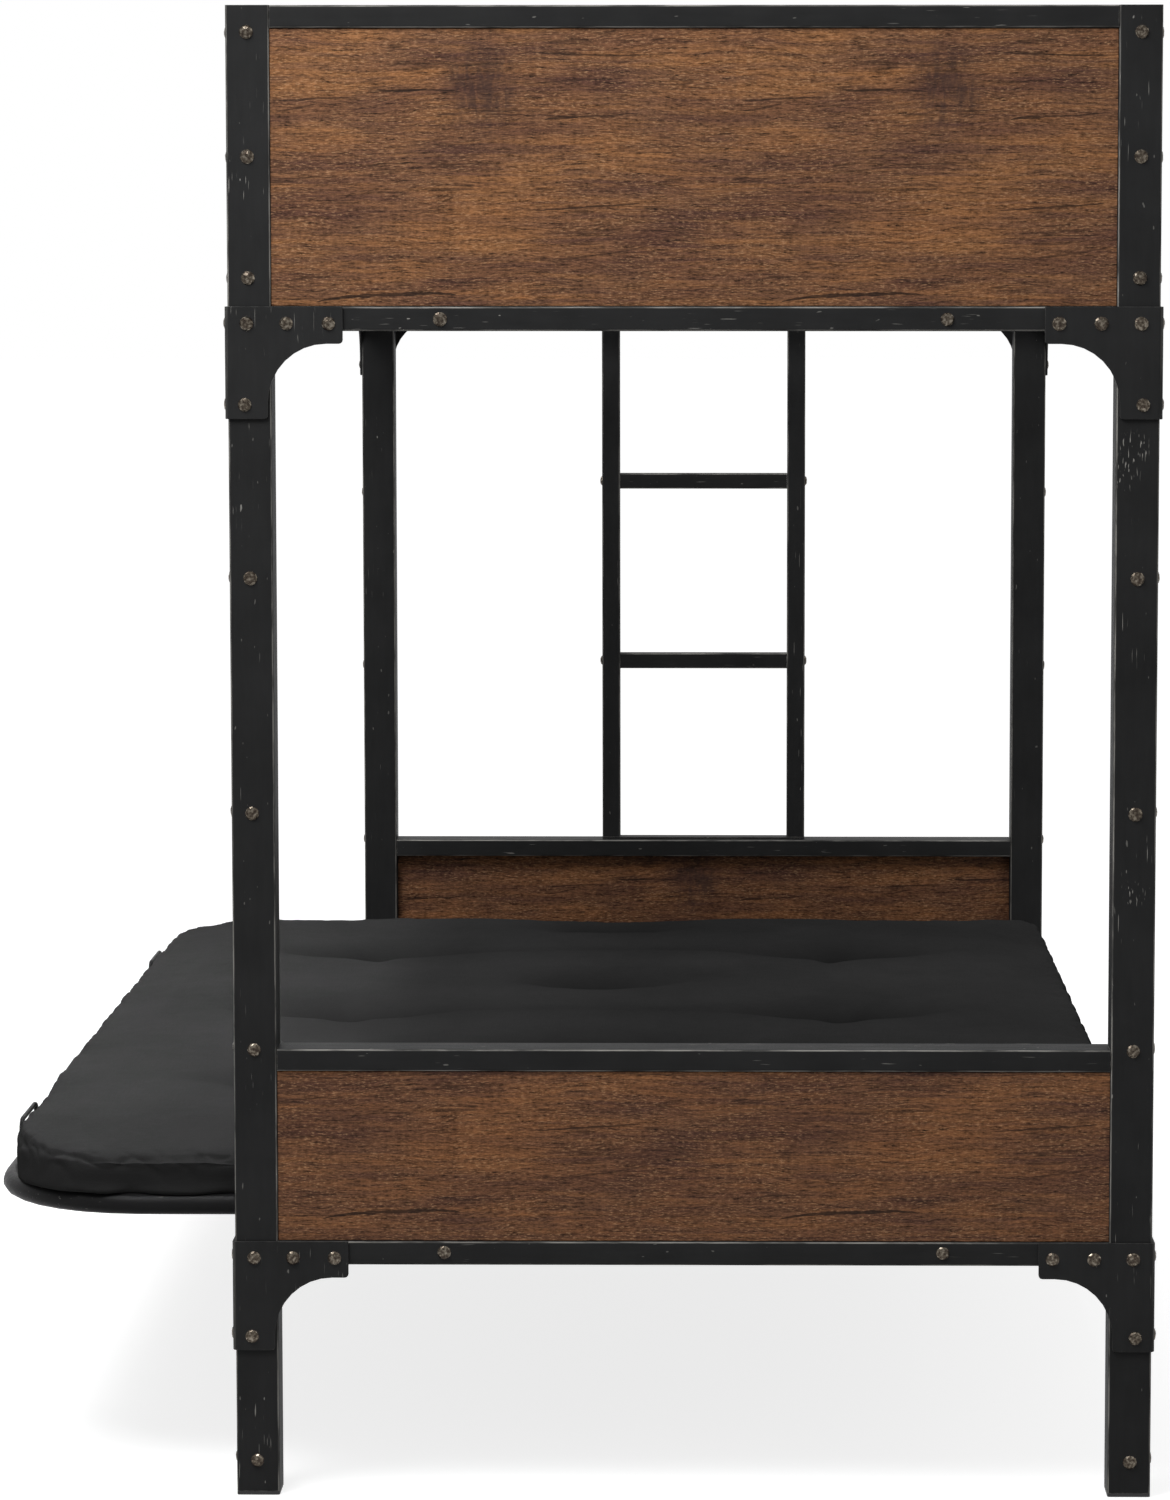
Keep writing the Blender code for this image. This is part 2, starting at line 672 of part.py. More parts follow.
def make_guides():
    """Guide at each end: an open channel for the seat's glides and a curved slot for the back's pin."""
    outline, front, rear = guide_outline()
    slot = cam_slot_outline()
    for end, sx in ends():
        plate = prism("futon_guide", outline, end_x(sx, GAP), end_x(sx, GAP + GUIDE_T), "X")
        obj = place(f"futon_guide_{end}", plate, ZINC)
        x0, x1 = sorted((end_x(sx, GAP + GUIDE_T / 2), end_x(sx, GAP + TRACK_DEPTH)))
        flanges = [
            ((x0, front, TRACK_BOTTOM), (x1, rear, TRACK_BOTTOM + GUIDE_T)),
            ((x0, front, TRACK_TOP - GUIDE_T), (x1, rear, TRACK_TOP)),
        ]
        combine(obj, guide(f"track_flanges_{end}", boxes("track_flanges", flanges)), "UNION")
        cutter = prism("cam_slot", slot, end_x(sx, -OVERRUN), end_x(sx, GAP + GUIDE_T + OVERRUN), "X")
        combine(obj, guide(f"cam_slot_{end}", cutter), "DIFFERENCE")


def seat_plate_outline():
    """Side plate of the seat deck: a strip over the glides and the tube, with an ear up to the hinge."""
    bottom = GLIDE_Z - PLATE_MARGIN
    top = DECK_Z + DECK_TUBE_R
    front = MID_Y + GLIDE_FRONT_Y - PLATE_MARGIN
    hinge = MID_Y + HINGE_Y
    points = [(front, bottom), (hinge, bottom)]
    points += arc((hinge, HINGE_Z), HINGE_BOSS_R, -90, 135, BOSS_STEPS * 2)[1:]
    points.append((hinge - EAR_RUN, top))
    points.append((front, top))
    return points


def hull(points):
    """Convex outline round points, counter-clockwise."""
    ordered = sorted(set(points))

    def chain(run):
        kept = []
        for p in run:
            while len(kept) > 1:
                (ax, ay), (bx, by) = kept[-2], kept[-1]
                if (bx - ax) * (p[1] - ay) - (by - ay) * (p[0] - ax) > 0:
                    break
                kept.pop()
            kept.append(p)
        return kept[:-1]

    return chain(ordered) + chain(ordered[::-1])


def back_plate_outline():
    """Side plate of the back deck: hinge boss, boss for the cam pin and a tail along the tube."""
    hinge = MID_Y + HINGE_Y
    pin, _ = cam_point(0.0)
    tail = (hinge + BACK_PLATE_TAIL, DECK_Z)
    last = 360 - 360 / ROUND_STEPS
    points = []
    for centre, radius in (((hinge, HINGE_Z), HINGE_BOSS_R), (pin, CAM_BOSS_R), (tail, DECK_TUBE_R)):
        points += arc(centre, radius, 0, last, ROUND_STEPS - 1)
    return hull(points)


def hole(name, sign, depth, thickness, centre, radius):
    """Cutter for a round hole through a side plate."""
    cutter = turned(name, ((-thickness / 2 - OVERRUN, radius), (thickness / 2 + OVERRUN, radius)))
    obj = guide(name, cutter)
    obj.location = (end_x(sign, depth + thickness / 2), *centre)
    return obj


def make_seat_plates(seat):
    outline = seat_plate_outline()
    holes = (
        ("front", (MID_Y + GLIDE_FRONT_Y, GLIDE_Z), GLIDE_STUB_R + GAP),
        ("rear", (MID_Y + GLIDE_REAR_Y, GLIDE_Z), GLIDE_STUB_R + GAP),
        ("hinge", (MID_Y + HINGE_Y, HINGE_Z), PIN_R + GAP),
    )
    for end, sx in ends():
        x0, x1 = end_x(sx, SEAT_PLATE_D), end_x(sx, SEAT_PLATE_D + SIDE_PLATE_T)
        mesh = prism("seat_side_plate", outline, x0, x1, "X")
        obj = place(f"seat_side_plate_{end}", mesh, ZINC, parent=seat)
        for name, centre, radius in holes:
            cutter = hole(f"seat_hole_{name}_{end}", sx, SEAT_PLATE_D, SIDE_PLATE_T, centre, radius)
            combine(obj, cutter, "DIFFERENCE")


def make_back_plates(back):
    outline = back_plate_outline()
    pin, _ = cam_point(0.0)
    holes = (("hinge", (MID_Y + HINGE_Y, HINGE_Z)), ("cam", pin))
    for end, sx in ends():
        x0, x1 = end_x(sx, BACK_PLATE_D), end_x(sx, BACK_PLATE_D + SIDE_PLATE_T)
        mesh = prism("back_side_plate", outline, x0, x1, "X")
        obj = place(f"back_side_plate_{end}", mesh, ZINC, parent=back)
        for name, centre in holes:
            cutter = hole(f"back_hole_{name}_{end}", sx, BACK_PLATE_D, SIDE_PLATE_T, centre, PIN_R + GAP)
            combine(obj, cutter, "DIFFERENCE")


def make_glides(seat):
    """Nylon shoes that run in the channel, each with a stub through the side plate."""
    outline = rounded_rectangle(GLIDE_LENGTH, GLIDE_H, GLIDE_H / 4)
    for end, sx in ends():
        x0, x1 = end_x(sx, GAP + GUIDE_T + GAP), end_x(sx, GAP + TRACK_DEPTH)
        root = x1 + sx * TRACK_DEPTH / 4
        tip = end_x(sx, SEAT_PLATE_D + SIDE_PLATE_T)
        for name, y in (("front", GLIDE_FRONT_Y), ("rear", GLIDE_REAR_Y)):
            at = (0, MID_Y + y, GLIDE_Z)
            mesh = prism("seat_glide", outline, x0, x1, "X")
            glide = place(f"seat_glide_{end}_{name}", mesh, NYLON, at, parent=seat)
            profile = ((root, GLIDE_STUB_R), (tip, GLIDE_STUB_R))
            stub = guide(f"glide_stub_{end}_{name}", turned("glide_stub", profile))
            stub.location = at
            combine(glide, stub, "UNION")


def make_hinge_pins(seat):
    """Pin through both side plates, with a head outside and a washer inside."""
    head = SEAT_PLATE_D - GAP - PIN_HEAD_T
    under = SEAT_PLATE_D - GAP
    inside = BACK_PLATE_D + SIDE_PLATE_T + GAP
    profile = (
        (head, PIN_HEAD_R - PIN_HEAD_T / 2),
        (head + PIN_HEAD_T / 2, PIN_HEAD_R),
        (under, PIN_HEAD_R),
        (under, PIN_R),
        (inside, PIN_R),
        (inside, PIN_HEAD_R - PIN_HEAD_T),
        (inside + PIN_TAIL_T, PIN_HEAD_R - PIN_HEAD_T),
    )
    for end, sx in ends():
        mesh = turned("hinge_pin", [(end_x(sx, d), r) for d, r in profile])
        place(f"hinge_pin_{end}", mesh, ZINC, (0, MID_Y + HINGE_Y, HINGE_Z), parent=seat)


def make_cam_pins(back):
    """Pin of the back deck with a flange behind the guide and a bush in its slot."""
    behind = -GAP - CAM_FLANGE_T
    profile = (
        (behind, CAM_FLANGE_R - CAM_FLANGE_T / 2),
        (behind + CAM_FLANGE_T / 2, CAM_FLANGE_R),
        (-GAP, CAM_FLANGE_R),
        (-GAP, CAM_BUSH_R),
        (GAP + GUIDE_T + 2 * GAP, CAM_BUSH_R),
        (GAP + GUIDE_T + 2 * GAP, PIN_R),
        (BACK_PLATE_D + SIDE_PLATE_T, PIN_R),
    )
    (y, z), _ = cam_point(0.0)
    for end, sx in ends():
        mesh = turned("cam_pin", [(end_x(sx, d), r) for d, r in profile])
        place(f"cam_pin_{end}", mesh, ZINC, (0, y, z), parent=back)


def deck_path(depth, hinge_side, far_side, bend):
    """Centre line of a U-shaped deck tube, from near the hinge round the free edge and back."""
    x = INNER_X - depth
    sign = 1.0 if far_side > hinge_side else -1.0
    inner_y = far_side - sign * bend
    points = [(x, hinge_side)]
    points += arc((x - bend, inner_y), bend, 0, sign * 90, DECK_BEND_STEPS)
    points += arc((bend - x, inner_y), bend, sign * 90, sign * 180, DECK_BEND_STEPS)
    points.append((-x, hinge_side))
    return [(px, MID_Y + py, DECK_Z) for px, py in points]


def deck_slats(name, depth, bar_y, far_side):
    """Flat slats from the cross bar to the tube at the free edge, and the cross bar itself."""
    top = DECK_Z + DECK_TUBE_R - DECK_SLAT_DROP
    low = top - DECK_SLAT_T
    sign = 1.0 if far_side > bar_y else -1.0
    seat = DECK_TUBE_R - TUBE_WALL / 2
    free = far_side - sign * math.sqrt(seat ** 2 - (low - DECK_Z) ** 2)
    reach = INNER_X - depth - seat
    pitch = 2 * reach / (DECK_SLAT_COUNT + 1)
    corners = []
    for i in range(DECK_SLAT_COUNT):
        x = -reach + pitch * (i + 1)
        y0, y1 = sorted((MID_Y + bar_y, MID_Y + free))
        corners.append(((x - DECK_SLAT_W / 2, y0, low), (x + DECK_SLAT_W / 2, y1, top)))
    slats = guide(name + "_slats", boxes(name + "_slats", corners))
    half = CROSS_BAR_W / 2
    bar_low = (-reach, MID_Y + bar_y - half, DECK_Z - CROSS_BAR_BELOW)
    bar_high = (reach, MID_Y + bar_y + half, low + WELD)
    bar = guide(name + "_cross_bar", boxes(name + "_cross_bar", [(bar_low, bar_high)]))
    return slats, bar


def loop_mesh(x):
    """Wire loop that stands on the front tube and keeps the mattress from sliding off."""
    y = MID_Y + DECK_FRONT_Y
    bottom = DECK_Z + DECK_TUBE_R - TUBE_WALL / 2
    half, r = LOOP_LENGTH / 2 - LOOP_WIRE_R, LOOP_BEND_R
    top = LOOP_TOP - LOOP_WIRE_R
    points = [(-half, bottom)]
    points += arc((-half + r, top - r), r, 180, 90, LOOP_BEND_STEPS)
    points += arc((half - r, top - r), r, 90, 0, LOOP_BEND_STEPS)
    points.append((half, bottom))
    path = [(x + px, y, pz) for px, pz in points]
    return swept("loop", path, (LOOP_WIRE_R,), LOOP_SIDES, Vector((0, 1, 0)))


def make_seat_frame(seat):
    end_y = HINGE_Y - DECK_END_OFF
    path = deck_path(SEAT_TUBE_D, end_y, DECK_FRONT_Y, DECK_FRONT_R)
    walls = (DECK_TUBE_R, DECK_TUBE_R - TUBE_WALL)
    mesh = swept("seat_frame", path, walls, DECK_TUBE_SIDES, Vector((0, 0, 1)))
    frame = place("seat_frame", mesh, DECK_STEEL, parent=seat)
    slats, bar = deck_slats("seat", SEAT_TUBE_D, HINGE_Y - CROSS_BAR_OFF, DECK_FRONT_Y)
    combine(frame, bar, "UNION")
    combine(frame, slats, "UNION")
    for name, sx in ends():
        combine(frame, guide(f"seat_loop_{name}", loop_mesh(sx * LOOP_X)), "UNION")


def make_back_frame(back):
    end_y = HINGE_Y + DECK_END_OFF
    rear = FUTON_REAR - DECK_REAR_IN
    path = deck_path(BACK_TUBE_D, end_y, rear, DECK_REAR_R)
    walls = (DECK_TUBE_R, DECK_TUBE_R - TUBE_WALL)
    mesh = swept("back_frame", path, walls, DECK_TUBE_SIDES, Vector((0, 0, 1)))
    frame = place("back_frame", mesh, DECK_STEEL, parent=back)
    slats, bar = deck_slats("back", BACK_TUBE_D, HINGE_Y + CROSS_BAR_OFF, rear)
    combine(frame, bar, "UNION")
    combine(frame, slats, "UNION")


def futon_top(x, edge, y):
    """Height of the mattress at a place, at a distance from its outline: crown, rounded edge and tufts."""
    across = 2 * x / FUTON_LENGTH
    along_y = 2 * (y - HINGE_Y) / FUTON_DEPTH
    height = FUTON_TOP - FUTON_CROWN * (1 - (1 - across ** 4) * (1 - along_y ** 4))
    if edge < FUTON_EDGE_R:
        height -= FUTON_EDGE_R - math.sqrt(max(FUTON_EDGE_R ** 2 - (FUTON_EDGE_R - edge) ** 2, 0.0))
    rows = [(TUFT_PITCH * k, HINGE_Y + side * TUFT_OUTER_Y) for k in (-1, 0, 1) for side in (-1, 1)]
    rows += [(TUFT_PITCH * k / 2, HINGE_Y) for k in (-3, -1, 1, 3)]
    for tuft_x, tuft_y in rows:
        near = 1 - math.hypot(x - tuft_x, y - tuft_y) / TUFT_R
        if near > 0:
            height -= TUFT_DEPTH * near ** 2
    return height


def futon_columns():
    """Places along the mattress as shares of its half length, closer together at the rounded ends."""
    half = FUTON_LENGTH / 2
    step = TUFT_PITCH / TUFT_PITCH_STEPS
    count = int((half - FUTON_EDGE_R) / step)
    if half - FUTON_EDGE_R - count * step < step / 4:
        count -= 1
    right = [half - FUTON_EDGE_R * share for share in FUTON_EDGE_SHARES]
    places = sorted([-x for x in right] + right + [step * k for k in range(-count, count + 1)])
    return [x / half for x in places]


def futon_rows(width):
    """Distances from the free edge to the hinge line."""
    step = TUFT_OUTER_Y / TUFT_ROW_STEPS
    count = int((width - FUTON_EDGE_R) / step)
    if width - FUTON_EDGE_R - count * step < step / 4:
        count -= 1
    edge = [FUTON_EDGE_R * share for share in FUTON_EDGE_SHARES]
    return edge + [width - step * k for k in range(count, -1, -1)]


def corner_inset(distance, radius):
    """How far the rounded corner lies inside the end of the mattress at a distance from the free edge."""
    if distance >= radius:
        return 0.0
    return radius - math.sqrt(radius ** 2 - (radius - distance) ** 2)


def outline_distance(x, distance, reach, corner):
    """Distance from the mattress's outline, on a half whose free corners are rounded."""
    past = abs(x) - (reach - corner)
    if distance < corner and past > 0:
        return max(corner - math.hypot(corner - distance, past), 0.0)
    return max(min(reach - abs(x), distance), 0.0)


def futon_half_top(sign, free_edge, corner, shares, rows):
    """Upper surface of one half, row by row from its free edge to the hinge line."""
    width = rows[-1]
    lean = math.tan(FOLD_ANGLE / 2)
    vertices = []
    for distance in rows:
        y = sign * (free_edge - distance)
        bow = FUTON_DRAW_IN * (1 - (2 * (y - HINGE_Y) / FUTON_DEPTH) ** 2)
        reach = FUTON_LENGTH / 2 - bow
        row_reach = reach - corner_inset(distance, corner)
        for share in shares:
            x = share * row_reach
            z = futon_top(x, outline_distance(x, distance, reach, corner), y)
            pull = FUTON_DRAW_IN * (1 - share ** 2) * (1 - distance / width)
            place_y = y - sign * pull
            if distance == width:
                place_y = HINGE_Y + sign * (FUTON_SPLIT + max(z - HINGE_Z, 0.0) * lean)
            vertices.append((x, place_y, z))
    return vertices


def futon_side_place(level, vertex, at_hinge, sign, width):
    """Place of a vertex of the mattress's side, at one of three levels below a vertex of its top."""
    x, y, z = vertex
    if at_hinge:
        y = HINGE_Y + sign * FUTON_SPLIT
    if level == "middle":
        half_way = (FUTON_BOTTOM + FUTON_TOP - FUTON_EDGE_R) / 2
        return x, y, min(HINGE_Z, z - FUTON_SPLIT) if at_hinge else half_way
    if level == "low":
        return x, y, FUTON_BOTTOM if at_hinge else FUTON_BOTTOM + FUTON_UNDER_R
    centre_y = HINGE_Y + sign * width / 2
    x *= 1 - FUTON_UNDER_R / (FUTON_LENGTH / 2)
    y += (centre_y - y) * FUTON_UNDER_R / (width / 2)
    return x, y, FUTON_BOTTOM


def futon_half_mesh(name, sign, free_edge, corner):
    """One half of the mattress, from its free edge to the hinge line, where its top leans back to fold."""
    width = abs(sign * free_edge - HINGE_Y)
    shares, rows = futon_columns(), futon_rows(width)
    vertices = futon_half_top(sign, free_edge, corner, shares, rows)
    nx, ny = len(shares), len(rows)
    faces = []
    for j in range(ny - 1):
        for i in range(nx - 1):
            a = j * nx + i
            faces.append((a, a + 1, a + nx + 1, a + nx))
    last_row = (ny - 1) * nx
    rim = list(range(nx)) + [j * nx + nx - 1 for j in range(1, ny)]
    rim += [last_row + i for i in range(nx - 2, -1, -1)] + [j * nx for j in range(ny - 2, 0, -1)]
    loops = [rim]
    for level in ("middle", "low", "under"):
        first = len(vertices)
        vertices += [futon_side_place(level, vertices[v], v >= last_row, sign, width) for v in rim]
        loops.append(list(range(first, first + len(rim))))
    for upper, lower in zip(loops, loops[1:]):
        for k in range(len(rim)):
            n = (k + 1) % len(rim)
            faces.append((upper[k], upper[n], lower[n], lower[k]))
    faces.append(tuple(loops[-1]))
    shifted = [(x, MID_Y + y, z) for x, y, z in vertices]
    return mesh_of(name, shifted, faces)


def make_futon(seat, back):
    mesh = futon_half_mesh("futon_seat", -1, FUTON_FRONT + FUTON_LAP, FUTON_FRONT_R)
    place("futon_seat", mesh, FABRIC, parent=seat)
    mesh = futon_half_mesh("futon_back", 1, FUTON_REAR, FUTON_REAR_R)
    place("futon_back", mesh, FABRIC, parent=back)


def main():
    clear_scene()
    make_posts()
    make_feet()
    make_end_rails()
    make_panels()
    make_gussets()
    make_ladder()
    make_side_rails()
    make_guard_rails()
    make_slat_deck()
    make_guides()
    seat = pivot("seat_slide_axis", (0, MID_Y + HINGE_Y, HINGE_Z))
    back = pivot("back_fold_axis", (0, MID_Y + HINGE_Y, HINGE_Z), seat)
    make_seat_plates(seat)
    make_back_plates(back)
    make_glides(seat)
    make_hinge_pins(seat)
    make_cam_pins(back)
    make_seat_frame(seat)
    make_back_frame(back)
    make_futon(seat, back)


main()
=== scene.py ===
"""Visual model of a futon bunk bed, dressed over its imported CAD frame.

Metres, +Z up. The near end frame stands at +X, and the futon's open side faces -Y.
"""
import math
import random

import bmesh
import bpy
import numpy as np
from mathutils import Matrix, Vector, noise


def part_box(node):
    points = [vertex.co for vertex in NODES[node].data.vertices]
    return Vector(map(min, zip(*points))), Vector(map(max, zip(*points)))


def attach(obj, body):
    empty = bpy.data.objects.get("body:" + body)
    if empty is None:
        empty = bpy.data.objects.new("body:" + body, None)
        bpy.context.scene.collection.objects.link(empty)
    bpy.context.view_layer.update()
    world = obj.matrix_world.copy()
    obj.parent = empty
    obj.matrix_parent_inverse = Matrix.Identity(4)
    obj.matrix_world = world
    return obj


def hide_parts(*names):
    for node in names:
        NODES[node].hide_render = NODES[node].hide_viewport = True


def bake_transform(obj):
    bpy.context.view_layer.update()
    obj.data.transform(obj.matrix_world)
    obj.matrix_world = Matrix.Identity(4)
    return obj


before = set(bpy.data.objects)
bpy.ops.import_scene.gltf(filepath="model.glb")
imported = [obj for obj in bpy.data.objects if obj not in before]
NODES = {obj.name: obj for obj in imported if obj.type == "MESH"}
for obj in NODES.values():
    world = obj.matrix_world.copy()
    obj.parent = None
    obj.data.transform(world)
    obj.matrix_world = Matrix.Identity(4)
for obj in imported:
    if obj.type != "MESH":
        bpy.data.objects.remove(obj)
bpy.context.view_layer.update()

# Middle of the bed across its posts, and the outer faces of the posts.
MID_Y = 0.15108363
POST_OUT_X = 1.025
POST_OUT_Y = 0.5335


def srgb(r, g, b):
    """Linear colour of an 8-bit screen colour."""
    out = []
    for c in (r, g, b):
        c = c / 255
        out.append(c / 12.92 if c <= 0.04045 else ((c + 0.055) / 1.055) ** 2.4)
    return (*out, 1.0)


def grey(level):
    return srgb(level, level, level)


# Shader helpers

class Nodes:
    """A node tree and short calls that add nodes to it."""

    def __init__(self, tree):
        self.tree = tree
        tree.nodes.clear()

    def connect(self, socket, value):
        """Links an output to a socket, or sets the socket's own value."""
        if isinstance(value, bpy.types.NodeSocket):
            self.tree.links.new(value, socket)
        else:
            socket.default_value = value

    def add(self, kind, values=None, **settings):
        node = self.tree.nodes.new("ShaderNode" + kind)
        for key, value in settings.items():
            setattr(node, key, value)
        for key, value in (values or {}).items():
            self.connect(node.inputs[key], value)
        return node

    def math(self, operation, *values, clamp=False):
        node = self.add("Math", operation=operation, use_clamp=clamp)
        for socket, value in zip(node.inputs, values):
            self.connect(socket, value)
        return node.outputs[0]

    def plus(self, a, b):
        return self.math("ADD", a, b)

    def minus(self, a, b):
        return self.math("SUBTRACT", a, b)

    def times(self, a, b):
        return self.math("MULTIPLY", a, b)

    def most(self, a, b):
        return self.math("MAXIMUM", a, b)

    def weighted(self, *pairs):
        """Sum of values, each times its share."""
        total = None
        for value, share in pairs:
            part = self.times(value, share)
            total = part if total is None else self.plus(total, part)
        return total

    def seen_directly(self):
        """1 for rays of the camera, gloss and glass, and 0 for those that light the object."""
        path = self.add("LightPath")
        mask = self.most(path.outputs["Is Camera Ray"], path.outputs["Is Glossy Ray"])
        return self.most(mask, path.outputs["Is Transmission Ray"])


class Shader(Nodes):
    """The nodes of a new material."""

    def __init__(self, name):
        self.material = bpy.data.materials.new(name)
        self.material.use_nodes = True
        super().__init__(self.material.node_tree)
        self.place = self.add("TexCoord").outputs["Object"]

    def parts(self, vector):
        return list(self.add("SeparateXYZ", {0: vector}).outputs)

    def vector(self, x, y, z):
        return self.add("CombineXYZ", {0: x, 1: y, 2: z}).outputs[0]

    def measure(self, operation, *vectors):
        """A number worked out from vectors, such as a distance."""
        node = self.add("VectorMath", dict(enumerate(vectors)), operation=operation)
        return node.outputs["Value"]

    def scaled(self, scale, offset=(0.0, 0.0, 0.0), source=None):
        values = {"Vector": source or self.place, "Scale": scale, "Location": offset}
        return self.add("Mapping", values).outputs[0]

    def noise(self, vector, detail=2.0, rough=0.5, distortion=0.0):
        """Cloudy noise from 0 to 1 that changes once per unit of the vector."""
        values = {"Vector": vector, "Scale": 1.0, "Detail": detail, "Roughness": rough,
                  "Distortion": distortion}
        return self.add("TexNoise", values).outputs[0]

    def swing(self, value, size):
        """A noise value turned into one that swings round 0 over a size."""
        return self.times(self.minus(value, 0.5), size)

    def ramp(self, value, *stops):
        node = self.add("ValToRGB", {"Fac": value})
        elements = node.color_ramp.elements
        while len(elements) < len(stops):
            elements.new(0.5)
        for element, (place, colour) in zip(elements, stops):
            element.position = place
            element.color = colour
        return node.outputs["Color"]

    def range(self, value, low, high, out_low=0.0, out_high=1.0, kind="SMOOTHSTEP"):
        values = {"Value": value, "From Min": low, "From Max": high, "To Min": out_low,
                  "To Max": out_high}
        return self.add("MapRange", values, interpolation_type=kind).outputs[0]

    def mix(self, factor, a, b, blend="MIX"):
        node = self.add("Mix", {0: factor, 6: a, 7: b}, data_type="RGBA", blend_type=blend)
        return node.outputs[2]

    def edges(self, radius, low, high):
        """1 on the edges of the mesh, 0 on its flats."""
        round_normal = self.add("Bevel", {"Radius": radius}, samples=6).outputs[0]
        flat_normal = self.add("NewGeometry").outputs["Normal"]
        alike = self.measure("DOT_PRODUCT", round_normal, flat_normal)
        return self.range(self.minus(1.0, alike), low, high)

    def finish(self, colour, roughness, height, strength, distance, **constants):
        """Principled surface with a bump. The constants go straight on its sockets."""
        bump = self.add("Bump", {"Height": height, "Strength": strength, "Distance": distance})
        shader = self.add("BsdfPrincipled", {"Base Color": colour, "Roughness": roughness,
                                             "Normal": bump.outputs[0]})
        for key, value in constants.items():
            shader.inputs[key.replace("_", " ")].default_value = value
        self.add("OutputMaterial", {"Surface": shader.outputs[0]})
        return self.material


def along(axis, slow, fast):
    """Scale of a pattern that is long along an axis."""
    scale = [fast, fast, fast]
    scale["XYZ".index(axis)] = slow
    return tuple(scale)


def tinted(colour, share):
    """A colour times a share, opaque."""
    return tuple(c * share for c in colour[:3]) + (1.0,)


# Materials. The scales of the noises are in changes per metre.

# Pale colour of scratches, nicks and chipped edges; on the edges it is also a painted highlight.
BARE_STEEL_AND_HIGHLIGHT = srgb(150, 148, 143)


def painted_steel(name, axis, base, level, rough, wear, seed, edge_wear_and_highlight=0.85, scuffs=()):
    """Satin paint over steel: scratches along the tube, and its edges chipped and lit by a painted
    highlight.

    axis is the tube's length, level the specular level, wear the strength of all scratches, nicks
    and edges, edge_wear_and_highlight that of the chipped edges alone, which are also a painted
    highlight, and seed moves the pattern. Scuffs are places, each with its reach, where short
    bright ticks crowd together.
    """
    s = Shader(name)
    shift = (seed * 1.37, seed * 2.11, seed * 0.73)
    cloud = s.noise(s.scaled((9, 9, 9), shift), detail=4, rough=0.6)
    grit = s.noise(s.scaled((700, 700, 700), shift))
    rub = s.noise(s.scaled(along(axis, 14, 120), shift), detail=5, rough=0.62)
    hair = s.noise(s.scaled(along(axis, 26, 520), shift), rough=0.45)
    nick = s.noise(s.scaled(along(axis, 75, 210), shift), detail=1, rough=0.4)
    tick = s.noise(s.scaled(along(axis, 85, 520), shift), detail=1)
    area = s.range(s.noise(s.scaled((8, 8, 8), (seed * 3.1, 4.0, seed))), 0.50, 0.64)

    scratches = s.times(s.range(hair, 0.69, 0.75), area)
    ticks = s.range(tick, 0.625, 0.675)
    for point, reach in scuffs:
        away = s.measure("DISTANCE", s.place, point)
        crowd = s.times(s.range(away, reach * 0.45, reach, 1.0, 0.0), ticks)
        scratches = s.most(scratches, s.times(crowd, 1.25))
    nicks = s.times(s.range(nick, 0.765, 0.80), s.range(area, 0.1, 0.9, 0.4, 1.0))

    # A face of a round corner looks along no axis.
    normal = s.add("NewGeometry").outputs["Normal"]
    sides = [s.math("ABSOLUTE", part) for part in s.parts(normal)]
    flat = s.most(s.most(sides[0], sides[1]), sides[2])
    corner = s.range(s.minus(1.0, flat), 0.03, 0.16)
    edge = s.most(corner, s.edges(0.0012, 0.01, 0.18))
    # Chipped edges: partly wear and partly a painted highlight, pale lines where the round and
    # sharp edges would catch the light.
    chips_and_edge_highlight = s.times(edge, s.range(rub, 0.36, 0.64, 0.10, 1.0))

    marks_and_highlight = s.most(s.times(scratches, 0.8), s.times(nicks, 0.9))
    marks_and_highlight = s.math("MULTIPLY", s.most(marks_and_highlight, s.times(chips_and_edge_highlight, edge_wear_and_highlight)), wear, clamp=True)
    colour = s.ramp(s.weighted((cloud, 0.7), (rub, 0.3)),
                    (0.3, tinted(base, 0.82)), (0.7, tinted(base, 1.22)))
    colour = s.mix(marks_and_highlight, colour, BARE_STEEL_AND_HIGHLIGHT)
    roughness = s.range(s.weighted((rub, 0.5), (grit, 0.5)), 0.3, 0.7, rough - 0.07, rough + 0.08)
    height = s.minus(s.times(grit, 0.5), s.times(marks_and_highlight, 1.4))
    return s.finish(colour, roughness, height, 0.22, 0.0004, Specular_IOR_Level=level)


# One repeat of the printed board, in millimetres from its left edge and down from its top.
# REPEAT_START is the place of that left edge along the bed's Y, in metres.
REPEAT = 531.0
REPEAT_START = 0.135
# Cracks: from, to, height at each end, bow, half width, depth.
CRACKS = (
    (6, 48, 20, 24, 0, 0.7, 0.7), (121, 180, 70, 69, -1, 1.1, 1.0),
    (172, 219, 71, 72, 1, 0.7, 0.7), (10, 100, 81, 80, 1, 0.8, 0.8),
    (6, 54, 92, 85, -1, 0.8, 0.7), (293, 424, 26, 30, -2, 0.8, 0.85),
    (286, 393, 63, 58, 1, 0.7, 0.65), (313, 352, 103, 102, 2, 1.0, 0.95),
    (345, 421, 100, 96, -1, 0.8, 0.8), (300, 421, 204, 198, -2, 0.9, 0.9),
    (328, 430, 260, 246, -3, 0.8, 0.6), (34, 78, 144, 147, 0, 0.6, 0.55),
    (190, 219, 99, 98, 1, 0.7, 0.7), (245, 288, 96, 97, -1, 0.7, 0.6),
    (251, 286, 186, 187, 1, 0.6, 0.55), (152, 250, 133, 132, 1, 0.5, 0.4),
    (150, 205, 205, 206, 0, 0.5, 0.4), (20, 50, 279, 280, 0, 0.7, 0.6),
    (51, 212, 312, 303, 4, 1.4, 1.0), (440, 474, 308, 308, 0, 0.7, 0.7),
    (110, 232, 243, 245, 1, 0.5, 0.4), (5, 62, 309, 308, 1, 0.5, 0.5),
    (400, 470, 160, 158, 1, 0.5, 0.4), (215, 330, 276, 274, 1, 0.5, 0.35))
